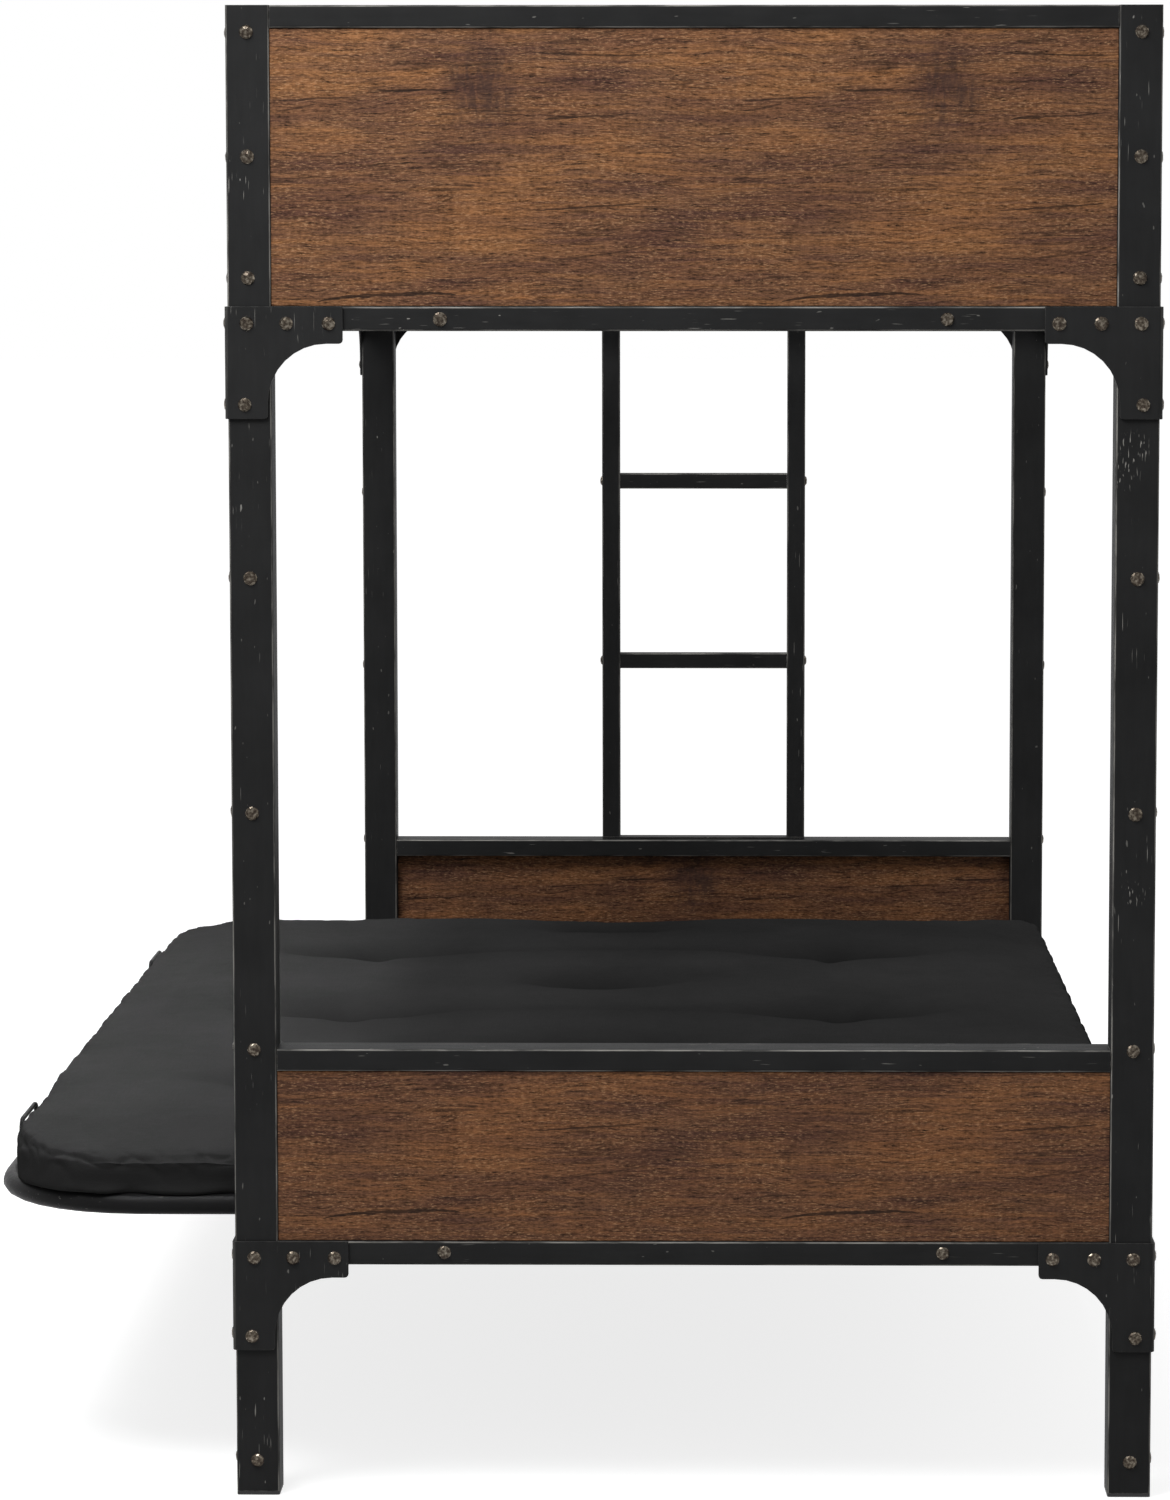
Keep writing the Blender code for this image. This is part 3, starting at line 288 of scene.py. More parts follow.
# Blots: place, half sizes, tone. The dark ones come first.
BLOTS = (
    (186, 22, 22, 18, -1.0), (238, 60, 34, 42, -1.1), (128, 96, 30, 26, -0.9),
    (222, 140, 52, 20, -0.9), (92, 176, 52, 22, -0.7), (86, 218, 40, 16, -0.6),
    (152, 256, 60, 16, -0.6), (196, 300, 60, 16, -0.8), (462, 232, 26, 34, -0.8),
    (470, 120, 40, 16, -0.5), (366, 60, 50, 14, -0.5), (390, 262, 70, 14, -0.5),
    (94, 124, 70, 18, 1.0), (262, 172, 64, 20, 1.0), (250, 232, 44, 22, 0.9),
    (290, 288, 70, 22, 1.0), (452, 50, 34, 20, 0.9), (36, 50, 44, 26, 0.7),
    (410, 140, 40, 22, 0.6), (420, 296, 50, 20, 0.6), (350, 160, 40, 20, 0.5),
    (30, 250, 30, 24, 0.4))
# Knot: place, half sizes.
KNOT = (240.0, 70.0, 34.0, 44.0)
COOL = (0.94, 1.02, 1.10, 1.0)
FLECK, KNOT_BAR = srgb(178, 140, 104), srgb(52, 40, 38)
CRACK_DARK, BOARD_EDGE = srgb(32, 22, 18), srgb(60, 40, 30)


def rustic_wood(name, top, shift, tones, light=1.0):
    """Printed board with its grain along Y: blots, fibres, flecks, wavy cracks and a knot.

    top is the height of the print's zero, shift moves it along the board, tones are the dark,
    middle and bright colours, and light scales them as painted light, which brightens the far
    boards.
    """
    s = Shader(name)
    _, place_y, place_z = s.parts(s.place)
    y = s.plus(place_y, shift)
    z = s.minus(place_z, top)

    # The print is wound on a cylinder, so that the noises repeat with it.
    turn = s.times(y, 2 * math.pi * 1000 / REPEAT)
    radius = REPEAT / (2000 * math.pi)
    ring_x = s.times(s.math("COSINE", turn), radius)
    ring_y = s.times(s.math("SINE", turn), radius)
    ring = s.vector(ring_x, ring_y, z)
    wavy_z = s.plus(z, s.swing(s.noise(s.scaled((5, 5, 13), source=ring)), 0.020))
    wavy = s.vector(ring_x, ring_y, wavy_z)
    flat = s.vector(y, wavy_z, shift)
    u = s.math("WRAP", s.times(s.minus(y, REPEAT_START), 1000.0), REPEAT, 0.0)
    v = s.times(z, -1000.0)
    wobble = s.swing(s.noise(s.scaled((9, 9, 5), source=ring), detail=4, rough=0.6), 9.0)
    bent_v = s.plus(v, wobble)

    patches = s.noise(s.scaled((7, 7, 34), source=wavy), detail=4, rough=0.6, distortion=0.15)
    veins = s.noise(s.scaled((6, 6, 170), source=wavy), detail=4, rough=0.6)
    fibres = s.noise(s.scaled((38, 330, 1), source=flat), detail=3, rough=0.75)
    fine = s.noise(s.scaled((150, 640, 1), source=flat), rough=0.7)
    cross = s.noise(s.scaled((420, 60, 1), source=flat), rough=0.6)
    ragged = s.swing(s.noise(s.scaled((16, 16, 90), source=wavy), detail=5, rough=0.8), 5.0)

    def off_centre(place_u, place_v, half_u, half_v):
        """Squared distance from a place, 1 on its ragged rim."""
        a = s.math("DIVIDE", s.minus(u, place_u), half_u)
        b = s.math("DIVIDE", s.minus(v, place_v), half_v)
        return s.math("MULTIPLY_ADD", a, a, s.math("MULTIPLY_ADD", b, b, ragged))

    blots = None
    for *spot, tone in BLOTS:
        blot = s.range(off_centre(*spot), -0.2, 2.6, tone, 0.0)
        blots = blot if blots is None else s.plus(blots, blot)
    tone = s.weighted((patches, 0.45), (veins, 0.55), (blots, 0.062))
    colour = s.ramp(tone, *zip((0.35, 0.5, 0.65), tones))
    tint = s.noise(s.scaled((11, 11, 30), (9.0, 2.0, 5.0), wavy), detail=4, rough=0.65)
    tint = s.range(tint, 0.38, 0.62, 0.0, 0.45)
    colour = s.mix(tint, colour, s.mix(1.0, colour, COOL, "MULTIPLY"))

    shade = s.plus(s.range(fibres, 0.34, 0.66, 0.58, 1.44, "LINEAR"),
                   s.range(fine, 0.34, 0.66, -0.42, 0.42, "LINEAR"))
    shade = s.plus(shade, s.range(cross, 0.35, 0.65, -0.08, 0.08, "LINEAR"))
    shade = s.minus(shade, s.range(fibres, 0.30, 0.42, 0.22, 0.0))
    # Painted light: a light above 1 brightens the colour of a board that gets less light from the
    # lamps.
    shade = s.times(shade, light * 1.02)
    shade = s.add("CombineColor", {0: shade, 1: shade, 2: shade}).outputs[0]
    colour = s.mix(1.0, colour, shade, "MULTIPLY")
    crowd = s.noise(s.scaled((16, 16, 40), (3.0, 8.0, 0.0), ring), detail=3)
    flecks = s.times(s.range(fine, 0.55, 0.68), s.range(crowd, 0.38, 0.60, 0.25, 1.0))
    colour = s.mix(s.times(flecks, 0.62), colour, FLECK)

    knot = s.range(off_centre(*KNOT), -0.4, 2.4, 1.0, 0.0)
    bars = s.noise(s.scaled((120, 30, 1), source=flat), rough=0.6, distortion=0.8)
    bars = s.range(s.weighted((bars, 0.6), (fibres, 0.4)), 0.42, 0.58, 0.1, 1.0)
    colour = s.mix(s.times(s.times(knot, bars), 0.62), colour, KNOT_BAR)

    thick = s.noise(s.scaled((70, 70, 20), source=ring))
    thick = s.range(thick, 0.35, 0.65, 0.75, 1.35, "LINEAR")
    lines = None
    for first, last, start, end, bow, half_width, depth in CRACKS:
        t = s.range(u, first, last, 0.0, 1.0, "LINEAR")
        hump = s.math("POWER", s.times(t, s.minus(4.0, s.times(t, 4.0))), 0.5)
        line = s.math("MULTIPLY_ADD", hump, float(-bow), float(start))
        line = s.math("MULTIPLY_ADD", t, float(end - start), line)
        off = s.math("ABSOLUTE", s.minus(bent_v, line))
        inside = s.minus(s.times(s.times(hump, thick), half_width * 1.4), off)
        crack = s.range(inside, -0.2, 0.25, 0.0, depth)
        lines = crack if lines is None else s.most(lines, crack)
    hair = s.noise(s.scaled((3.5, 3.5, 80), (5.3, 2.1, 0.0), wavy), detail=3)
    hair = s.range(s.math("ABSOLUTE", s.minus(hair, 0.52)), 0.006, 0.026, 0.6, 0.0)
    breaks = s.noise(s.scaled((20, 20, 80), (7.0, 1.0, 3.0), ring), detail=1)
    lines = s.most(lines, s.times(hair, s.range(breaks, 0.50, 0.60)))
    lines = s.times(lines, s.range(fibres, 0.2, 0.6, 1.0, 0.85))
    colour = s.mix(s.times(lines, 0.95), colour, CRACK_DARK)
    colour = s.mix(s.times(s.edges(0.0015, 0.03, 0.4), 0.6), colour, BOARD_EDGE)
    roughness = s.range(fibres, 0.3, 0.7, 0.5, 0.66)
    height = s.minus(s.weighted((fibres, 0.5), (fine, 0.3)), s.times(lines, 0.9))
    return s.finish(colour, roughness, height, 0.35, 0.0005, Specular_IOR_Level=0.12)


def galvanised(name):
    """Zinc-plated steel with a faint spangle and drawing marks."""
    s = Shader(name)
    cells = s.add("TexVoronoi", {"Vector": s.place, "Scale": 120.0}, feature="F1")
    tone = s.add("SeparateColor", {0: cells.outputs["Color"]}).outputs[0]
    dirt = s.noise(s.scaled((14, 14, 14)), detail=5, rough=0.65)
    lines = s.noise(s.scaled((900, 12, 300)))
    colour = s.ramp(s.weighted((tone, 0.25), (dirt, 0.75)),
                    (0.25, srgb(128, 130, 132)), (0.7, srgb(176, 178, 179)))
    roughness = s.range(s.weighted((tone, 0.3), (lines, 0.7)), 0.2, 0.8, 0.34, 0.5)
    return s.finish(colour, roughness, lines, 0.08, 0.0003, Metallic=0.85)


def moulded_nylon(name):
    """Black nylon with a fine moulded grain, scuffed at its edges."""
    s = Shader(name)
    grain = s.noise(s.scaled((900, 900, 900)))
    cloud = s.noise(s.scaled((40, 40, 40)), detail=4)
    colour = s.ramp(cloud, (0.3, srgb(28, 28, 29)), (0.7, srgb(38, 38, 39)))
    colour = s.mix(s.times(s.edges(0.001, 0.03, 0.3), 0.35), colour, grey(78))
    roughness = s.range(grain, 0.3, 0.7, 0.48, 0.62)
    return s.finish(colour, roughness, grain, 0.25, 0.0003, Specular_IOR_Level=0.4)


def antique_bronze(name):
    """Hammered bronze plating in random blotches, from brown to bright."""
    s = Shader(name)
    blot = s.noise(s.scaled((280, 280, 280)), rough=0.55)
    pits = s.noise(s.scaled((900, 900, 900)))
    colour = s.ramp(blot, (0.36, srgb(50, 43, 38)), (0.52, srgb(76, 69, 60)),
                    (0.68, srgb(116, 109, 99)))
    roughness = s.range(blot, 0.4, 0.66, 0.28, 0.17)
    return s.finish(colour, roughness, pits, 0.2, 0.0003, Metallic=0.95)


THREAD = 0.0016


def charcoal_cloth(name):
    """Dense woven cover with a soft nap, with painted shade on its walls and where the tufts press
    it down.

    It reads the mattress's rest shape, so the weave stays put when the mattress folds.
    """
    s = Shader(name)
    rest = s.add("Attribute", attribute_name="rest").outputs["Vector"]
    rest_normal = s.add("Attribute", attribute_name="rest_normal").outputs["Vector"]
    tuft_shade = s.add("Attribute", attribute_name="tuft_shade").outputs["Fac"]
    cloud = s.noise(s.scaled((5, 5, 5), source=rest), detail=3)
    slub = s.noise(s.scaled((60, 900, 900), source=rest))
    slub_across = s.noise(s.scaled((900, 60, 900), source=rest))
    rub = s.noise(s.scaled((26, 26, 26), source=rest), detail=4, rough=0.6)

    x, y, z = [s.math("SINE", s.times(part, 2 * math.pi / THREAD)) for part in s.parts(rest)]
    normal_x, _, normal_z = s.parts(rest_normal)
    up = s.range(s.math("ABSOLUTE", normal_z), 0.55, 0.75)
    on_end = s.range(s.math("ABSOLUTE", normal_x), 0.55, 0.75)
    sideways = s.minus(1.0, up)
    wall = s.plus(s.times(s.times(y, z), on_end), s.times(s.times(x, z), s.minus(1.0, on_end)))
    weave = s.plus(s.times(s.times(x, y), up), s.times(wall, sideways))

    tone = s.weighted((cloud, 0.35), (rub, 0.15), (slub, 0.25), (slub_across, 0.25),
                      (weave, 0.03))
    colour = s.ramp(tone, (0.3, grey(38)), (0.7, grey(52)))
    # Painted shade in the tufts and creases, darkest where they are pressed deepest.
    colour = s.mix(s.times(tuft_shade, 0.62), colour, grey(17))
    # Painted shade on the walls: they are made darker than the top, which takes the light from
    # above.
    colour = s.mix(s.times(sideways, 0.28), colour, grey(20))
    roughness = s.range(slub, 0.3, 0.7, 0.8, 0.92)
    height = s.plus(s.times(weave, 0.4), s.plus(slub, slub_across))
    return s.finish(colour, roughness, height, 0.25, 0.0004, Specular_IOR_Level=0.0,
                    Sheen_Weight=0.004, Sheen_Roughness=0.5)


BLACK = (0.0245, 0.0247, 0.0250, 1.0)
SATIN = (0.0110, 0.0110, 0.0113, 1.0)
# Scuffed places on the near rear post: two below the upper gusset, one above the lower cap rail.
SCUFFS = {"Z": (((POST_OUT_X, 0.654, 1.224), 0.024), ((POST_OUT_X, 0.644, 1.194), 0.022),
                ((POST_OUT_X, 0.658, 0.709), 0.018))}
STEEL = {axis: painted_steel("frame_paint_" + axis.lower(), axis, BLACK, 0.014, 0.44, 1.0, seed,
                             scuffs=SCUFFS.get(axis, ()))
         for axis, seed in (("X", 3.0), ("Y", 5.0), ("Z", 8.0))}
PLATE = painted_steel("gusset_paint", "Z", BLACK, 0.03, 0.46, 0.6, 13.0, 0.3)
DECK = painted_steel("deck_paint", "Y", SATIN, 0.05, 0.42, 0.35, 17.0, 0.0)
WARM = (srgb(84, 56, 45), srgb(112, 77, 54), srgb(136, 92, 58))
RED = (srgb(80, 53, 42), srgb(105, 71, 50), srgb(126, 84, 54))
UPPER_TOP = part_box("near_upper_panel")[1][2]
LOWER_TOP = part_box("near_lower_panel")[1][2]
# The far boards get painted light: their colours are made 5% brighter than the near ones.
WOOD = {
    "near_upper_panel": rustic_wood("board_near_upper", UPPER_TOP, -0.064, WARM),
    "far_upper_panel": rustic_wood("board_far_upper", UPPER_TOP + 0.05, 0.33, WARM, 1.05),
    "near_lower_panel": rustic_wood("board_near_lower", LOWER_TOP + 0.137, -0.064, RED),
    "far_lower_panel": rustic_wood("board_far_lower", LOWER_TOP + 0.03, 0.24, RED, 1.05)}
BRONZE = antique_bronze("bolt_bronze")
CLOTH = charcoal_cloth("mattress_cloth")
SLOT_LOOKS = {"deck_steel": DECK, "nylon": moulded_nylon("nylon_black"),
              "zinc": galvanised("zinc_plate"), "fabric": CLOTH}


# CAD nodes: looks, and smooth shading of round corners by modifiers

SHARP_ANGLE = math.radians(50)
WELD_REACH = 0.00002
EDGE_BEVEL = 0.0006


def smooth_group():
    """Geometry nodes that shade faces smooth over shallow edges."""
    group = bpy.data.node_groups.new("smooth_by_angle", "GeometryNodeTree")
    for way in ("INPUT", "OUTPUT"):
        group.interface.new_socket("Geometry", in_out=way, socket_type="NodeSocketGeometry")
    start = group.nodes.new("NodeGroupInput")
    end = group.nodes.new("NodeGroupOutput")
    faces = group.nodes.new("GeometryNodeSetShadeSmooth")
    faces.domain = "FACE"
    edges = group.nodes.new("GeometryNodeSetShadeSmooth")
    edges.domain = "EDGE"
    angle = group.nodes.new("GeometryNodeInputMeshEdgeAngle")
    less = group.nodes.new("FunctionNodeCompare")
    less.operation = "LESS_THAN"
    less.inputs["B"].default_value = SHARP_ANGLE
    group.links.new(start.outputs[0], faces.inputs["Geometry"])
    group.links.new(faces.outputs[0], edges.inputs["Geometry"])
    group.links.new(angle.outputs["Unsigned Angle"], less.inputs["A"])
    group.links.new(less.outputs[0], edges.inputs["Shade Smooth"])
    group.links.new(edges.outputs[0], end.inputs[0])
    return group


SMOOTH = smooth_group()


def soften(obj, bevel):
    """Shades round corners smooth, and rounds sharp edges where a bevel is given."""
    weld = obj.modifiers.new("weld", "WELD")
    weld.merge_threshold = WELD_REACH
    if bevel:
        edge = obj.modifiers.new("bevel", "BEVEL")
        edge.width = bevel
        edge.segments = 2
        edge.limit_method = "ANGLE"
        edge.angle_limit = SHARP_ANGLE
    obj.modifiers.new("smooth", "NODES").node_group = SMOOTH
    normals = obj.modifiers.new("normals", "WEIGHTED_NORMAL")
    normals.keep_sharp = True


def steel_for(name):
    """Paint whose scratches run along the piece."""
    if "gusset" in name:
        return PLATE
    if name.startswith("post") or "stile" in name:
        return STEEL["Z"]
    if "side_rail" in name or "guard" in name:
        return STEEL["X"]
    return STEEL["Y"]


for name, node in NODES.items():
    slot_name = node.data.materials[0].name.split(".")[0]
    if slot_name == "wood":
        look = WOOD[name]
    elif slot_name == "frame_steel":
        look = steel_for(name)
    else:
        look = SLOT_LOOKS[slot_name]
    for slot in node.material_slots:
        slot.link = "OBJECT"
        slot.material = look
    if not name.startswith(("futon_seat", "futon_back")):
        soften(node, EDGE_BEVEL if "gusset" in name or "panel" in name else 0.0)


# Bolts

# Rings of a bolt head: share of the radius, share of the height, corners, unevenness.
DOME = ((1.0, -0.15, 12, 0.0), (1.0, 0.20, 12, 0.02), (0.78, 0.72, 12, 0.07), (0.42, 1.0, 8, 0.10))
SKIRT, CROWN = 12, 8
POST_BOLT_Z = (1.697, 1.556, 1.418, 1.074, 0.802, 0.526, 0.041)
POST_BOLT_IN = 0.024
# Gusset bolts: in from the outer corner, and down from the upper edge.
GUSSET_BOLTS = ((0.0255, 0.0193), (0.071, 0.0193), (0.1193, 0.0193), (0.0227, 0.112))
SILL_BOLT_Z = (1.371, 0.288)
SILL_BOLT_Y = 0.290


def new_object(name, bm, look):
    """Object of one material, made from a bmesh and put in the scene."""
    mesh = bpy.data.meshes.new(name)
    bm.to_mesh(mesh)
    bm.free()
    obj = bpy.data.objects.new(name, mesh)
    bpy.context.scene.collection.objects.link(obj)
    mesh.materials.append(look)
    return obj


def bridge(bm, low, high):
    """Faces between two rings of as many corners."""
    count = len(low)
    for k in range(count):
        n = (k + 1) % count
        bm.faces.new((low[k], low[n], high[n], high[k]))


def bolt_head(bm, centre, axis, radius, height, rng):
    """Low hammered dome on a short round skirt."""
    centre, axis = Vector(centre), Vector(axis).normalized()
    side = Vector((0, 0, 1)) if abs(axis.z) < 0.5 else Vector((1, 0, 0))
    other = axis.cross(side)
    turn = rng.uniform(0, math.pi)
    rings = []
    for share, up, count, jitter in DOME:
        ring = []
        for k in range(count):
            angle = turn + 2 * math.pi * (k + rng.uniform(-jitter, jitter)) / count
            r = radius * share * (1 + rng.uniform(-jitter, jitter) * 0.5)
            h = height * (up + rng.uniform(-jitter, jitter) * 0.9)
            ring.append(bm.verts.new(centre + side * (r * math.cos(angle))
                                     + other * (r * math.sin(angle)) + axis * h))
        rings.append(ring)
    bridge(bm, rings[0], rings[1])
    bridge(bm, rings[1], rings[2])
    low, high = rings[2], rings[3]
    i = j = 0
    while i < SKIRT or j < CROWN:
        if j * SKIRT >= i * CROWN and i < SKIRT:
            bm.faces.new((low[i % SKIRT], low[(i + 1) % SKIRT], high[j % CROWN]))
            i += 1
        else:
            bm.faces.new((low[i % SKIRT], high[(j + 1) % CROWN], high[j % CROWN]))
            j += 1
    top = bm.verts.new(centre + axis * (height * (1.06 + rng.uniform(-0.05, 0.05))))
    for k in range(CROWN):
        bm.faces.new((high[k], high[(k + 1) % CROWN], top))
    bm.faces.new(list(reversed(rings[0])))


def bolts(name, places, seed, radius=0.0080, height=0.0031):
    """One piece of several bolt heads. Each place has the way that the head faces."""
    bm = bmesh.new()
    rng = random.Random(seed)
    for centre, axis in places:
        bolt_head(bm, centre, axis, radius * rng.uniform(0.97, 1.03),
                  height * rng.uniform(0.95, 1.05), rng)
    bmesh.ops.recalc_face_normals(bm, faces=bm.faces)
    obj = new_object(name, bm, BRONZE)
    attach(obj, "frame")


for end, sx in (("near", 1), ("far", -1)):
    to_end = (sx, 0, 0)
    for side, sy in (("front", -1), ("rear", 1)):
        to_side = (0, sy, 0)
        out_x, out_y = sx * POST_OUT_X, MID_Y + sy * POST_OUT_Y
        places = []
        for z in POST_BOLT_Z:
            places.append(((out_x, MID_Y + sy * (POST_OUT_Y - POST_BOLT_IN), z), to_end))
            places.append(((sx * (POST_OUT_X - POST_BOLT_IN), out_y, z), to_side))
        bolts("bolts_post_%s_%s" % (end, side), places, 11 + 2 * sx + sy)
        for level in ("upper", "lower"):
            low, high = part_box("%s_gusset_%s_%s" % (level, end, side))
            out_x = high[0] if sx > 0 else low[0]
            out_y = high[1] if sy > 0 else low[1]
            places = []
            for across, down in GUSSET_BOLTS:
                z = high[2] - down
                places.append(((out_x, out_y - sy * across, z), to_end))
                places.append(((out_x - sx * across, out_y, z), to_side))
            bolts("bolts_%s_gusset_%s_%s" % (level, end, side), places,
                  31 + 4 * sx + 2 * sy + (level == "upper"))
    places = [((sx * POST_OUT_X, MID_Y + sy * SILL_BOLT_Y, z), to_end)
              for z in SILL_BOLT_Z for sy in (-1, 1)]
    bolts("bolts_sill_%s" % end, places, 53 + sx)
places = []
for rung in ("lower", "upper"):
    low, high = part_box("ladder_rung_" + rung)
    for side, sy in (("front", -1), ("rear", 1)):
        stile_low, stile_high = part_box("ladder_stile_" + side)
        y = stile_low[1] if sy < 0 else stile_high[1]
        middle = ((stile_low[0] + stile_high[0]) / 2, y, (low[2] + high[2]) / 2)
        places.append((middle, (0, sy, 0)))
bolts("bolts_ladder", places, 71, radius=0.0074)


# Mattress. The two CAD halves give its size, and the cover stands a little proud of them.

HINGE_Y = 0.00858363
SEAT_LOW, SEAT_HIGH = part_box("futon_seat")
PAD_X = SEAT_HIGH[0] + 0.0012
PAD_Y0, PAD_Y1 = SEAT_LOW[1] - 0.0020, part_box("futon_back")[1][1]
PAD_Z0, PAD_Z1 = SEAT_LOW[2], SEAT_HIGH[2]
MID_Z = (PAD_Z0 + PAD_Z1) / 2

# Block before the simulation. Corners in plan: side in x, side in y, radius, stretch along X,
# angle where the arc starts.
CORNERS = ((1, 1, 0.045, 1, 0), (-1, 1, 0.045, 1, 90), (-1, -1, 0.120, 2, 180),
           (1, -1, 0.125, 1, 270))
CORNER_STEPS = 8
LEAST_RADIUS = 0.004
LOW_EDGE, TOP_EDGE = 0.006, 0.012
MARGIN = 0.001
VOXEL = 0.012

# Tufts: two rows beside the hinge, which draw together towards the near end, and one on it.
CREASE_X = (0.0, -0.56, 0.56)
ROW_Y, ROW_LEAN = 0.341, 0.010
TUFTS = [(x, HINGE_Y + side * (ROW_Y - ROW_LEAN * x)) for x in CREASE_X for side in (-1, 1)]
TUFTS += [(x, HINGE_Y) for x in (-0.84, -0.28, 0.28, 0.84)]
DIMPLE_DEPTH, TUFT_DEPTH, CREASE_DEPTH = 0.010, 0.032, 0.0075
# Depth at which the painted shade of the tufts and creases is at its darkest.
TUFT_SHADE_DEPTH = 0.024

# The top drops towards the two ends over this reach.
END_REACH, NEAR_DROP, FAR_DROP = 0.09, 0.023, 0.003

# Cloth simulation: steps, how its pins hold it, and how far it may move the cover.
STEPS = 20
PIN_REACH, PIN_LOW, PIN_LOW_HOLD = 0.030, 0.010, 0.6
MOST_MOVE = 0.011

# Walls: axis, side and where each one comes to lie, how far the loops of the deck draw the front
# one in, and the band along the upper edge that is split finer for its puckers.
WALLS = ((0, 1, PAD_X), (0, -1, PAD_X), (1, -1, -PAD_Y0 - 0.0035), (1, 1, PAD_Y1 + 0.0085))
LOOP_X, LOOP_HALF, LOOP_INSET = 0.69, 0.14, 0.0045
EDGE_BAND, BAND_DOWN = 0.036, 0.022

# Underside: height of its rounded edge, and how it sags over the tube of the deck.
UNDER_EDGE = 0.026
SAG_OUT, SAG_DOWN = 0.0045, 0.0046


def smooth01(t):
    t = np.clip(t, 0, 1)
    return t * t * (3 - 2 * t)


def pad_outline(inset):
    """Plan of the mattress, drawn in by an inset: wide front corners, small rear ones."""
    points = []
    for sx, sy, radius, stretch, start in CORNERS:
        corner_y = PAD_Y1 if sy > 0 else PAD_Y0
        reach_x = max(radius * stretch - inset, LEAST_RADIUS)
        reach_y = max(radius - inset, LEAST_RADIUS)
        for k in range(CORNER_STEPS + 1):
            angle = math.radians(start + 90 * k / CORNER_STEPS)
            points.append((sx * (PAD_X - radius * stretch) + reach_x * math.cos(angle),
                           corner_y - sy * radius + reach_y * math.sin(angle)))
    return points


def pad_block():
    """Closed block with rounded edges, a margin smaller than the mattress."""
    low_z, high_z = PAD_Z0 + MARGIN * 0.2, PAD_Z1 - MARGIN
    profile = []
    for k in range(5):
        angle = math.radians(-90 + 90 * k / 4)
        profile.append((MARGIN + LOW_EDGE * (1 - math.cos(angle)),
                        low_z + LOW_EDGE * (1 + math.sin(angle))))
    for k in range(7):
        angle = math.radians(90 * k / 6)
        profile.append((MARGIN + TOP_EDGE * (1 - math.cos(angle)),
                        high_z - TOP_EDGE * (1 - math.sin(angle))))
    bm = bmesh.new()
    rings = [[bm.verts.new((x, y, z)) for x, y in pad_outline(inset)] for inset, z in profile]
    for low, high in zip(rings, rings[1:]):
        bridge(bm, low, high)
    bm.faces.new(list(reversed(rings[0])))
    bm.faces.new(rings[-1])
    bmesh.ops.recalc_face_normals(bm, faces=bm.faces)
    return bm


def co_of(mesh):
    co = np.empty(len(mesh.vertices) * 3, dtype=np.float32)
    mesh.vertices.foreach_get("co", co)
    return co.reshape(-1, 3).astype(float)


def set_co(mesh, co):
    mesh.vertices.foreach_set("co", co.astype(np.float32).ravel())
    mesh.update()


def normals_of(mesh):
    normals = np.empty(len(mesh.vertices) * 3, dtype=np.float32)
    mesh.vertex_normals.foreach_get("vector", normals)
    return normals.reshape(-1, 3)


def apply_modifiers(obj):
    """Replaces an object's mesh by its evaluated one and drops its modifiers."""
    depsgraph = bpy.context.evaluated_depsgraph_get()
    mesh = bpy.data.meshes.new_from_object(obj.evaluated_get(depsgraph), depsgraph=depsgraph)
    old = obj.data
    obj.modifiers.clear()
    obj.data = mesh
    bpy.data.meshes.remove(old)


def start_shape(co):
    """Presses shallow dimples into the block and lowers its top towards the ends."""
    down = np.zeros(len(co))
    for x, y in TUFTS:
        dx, dy = co[:, 0] - x, co[:, 1] - y
        wide = np.exp(-(dx / 0.065) ** 2 - (dy / 0.110) ** 2)
        tight = np.exp(-(dx / 0.024) ** 2 - (dy / 0.060) ** 2)
        down = np.maximum(down, 0.62 * wide + 0.38 * tight)
    top_share = smooth01((co[:, 2] - MID_Z) / (PAD_Z1 - MID_Z - 0.006))
    co[:, 2] -= down * DIMPLE_DEPTH * top_share
    end_gap = np.clip(PAD_X - np.abs(co[:, 0]), 0, END_REACH) / END_REACH
    drop = np.where(co[:, 0] > 0, NEAR_DROP, FAR_DROP)
    co[:, 2] -= drop * (1 - end_gap) ** 1.5 * top_share


def simulate(obj, co):
    """Fills the cover with air as cloth, held at its tufts and along its underside."""
    pins = obj.vertex_groups.new(name="pins")
    for index, (x, y, z) in enumerate(co):
        weight = max(1.0 - math.hypot(x - tx, y - ty) / PIN_REACH for tx, ty in TUFTS)
        if z < PAD_Z0 + PIN_LOW:
            weight = max(weight, PIN_LOW_HOLD)
        if weight > 0:
            pins.add([index], min(weight, 1.0), "REPLACE")
    cloth = obj.modifiers.new("cloth", "CLOTH")
    settings = cloth.settings
    settings.quality = 5
    settings.mass = 0.3
    settings.tension_stiffness = 15
    settings.compression_stiffness = 15
    settings.shear_stiffness = 5
    settings.bending_stiffness = 0.6
    settings.use_pressure = True
    settings.uniform_pressure_force = 3.0
    settings.vertex_group_mass = "pins"
    settings.pin_stiffness = 1.0
    settings.effector_weights.gravity = 0
    cloth.collision_settings.use_collision = False
    cloth.point_cache.frame_start = 1
    cloth.point_cache.frame_end = STEPS
    scene = bpy.context.scene
    for step in range(1, STEPS + 1):
        scene.frame_set(step)
    apply_modifiers(obj)
    scene.frame_set(1)


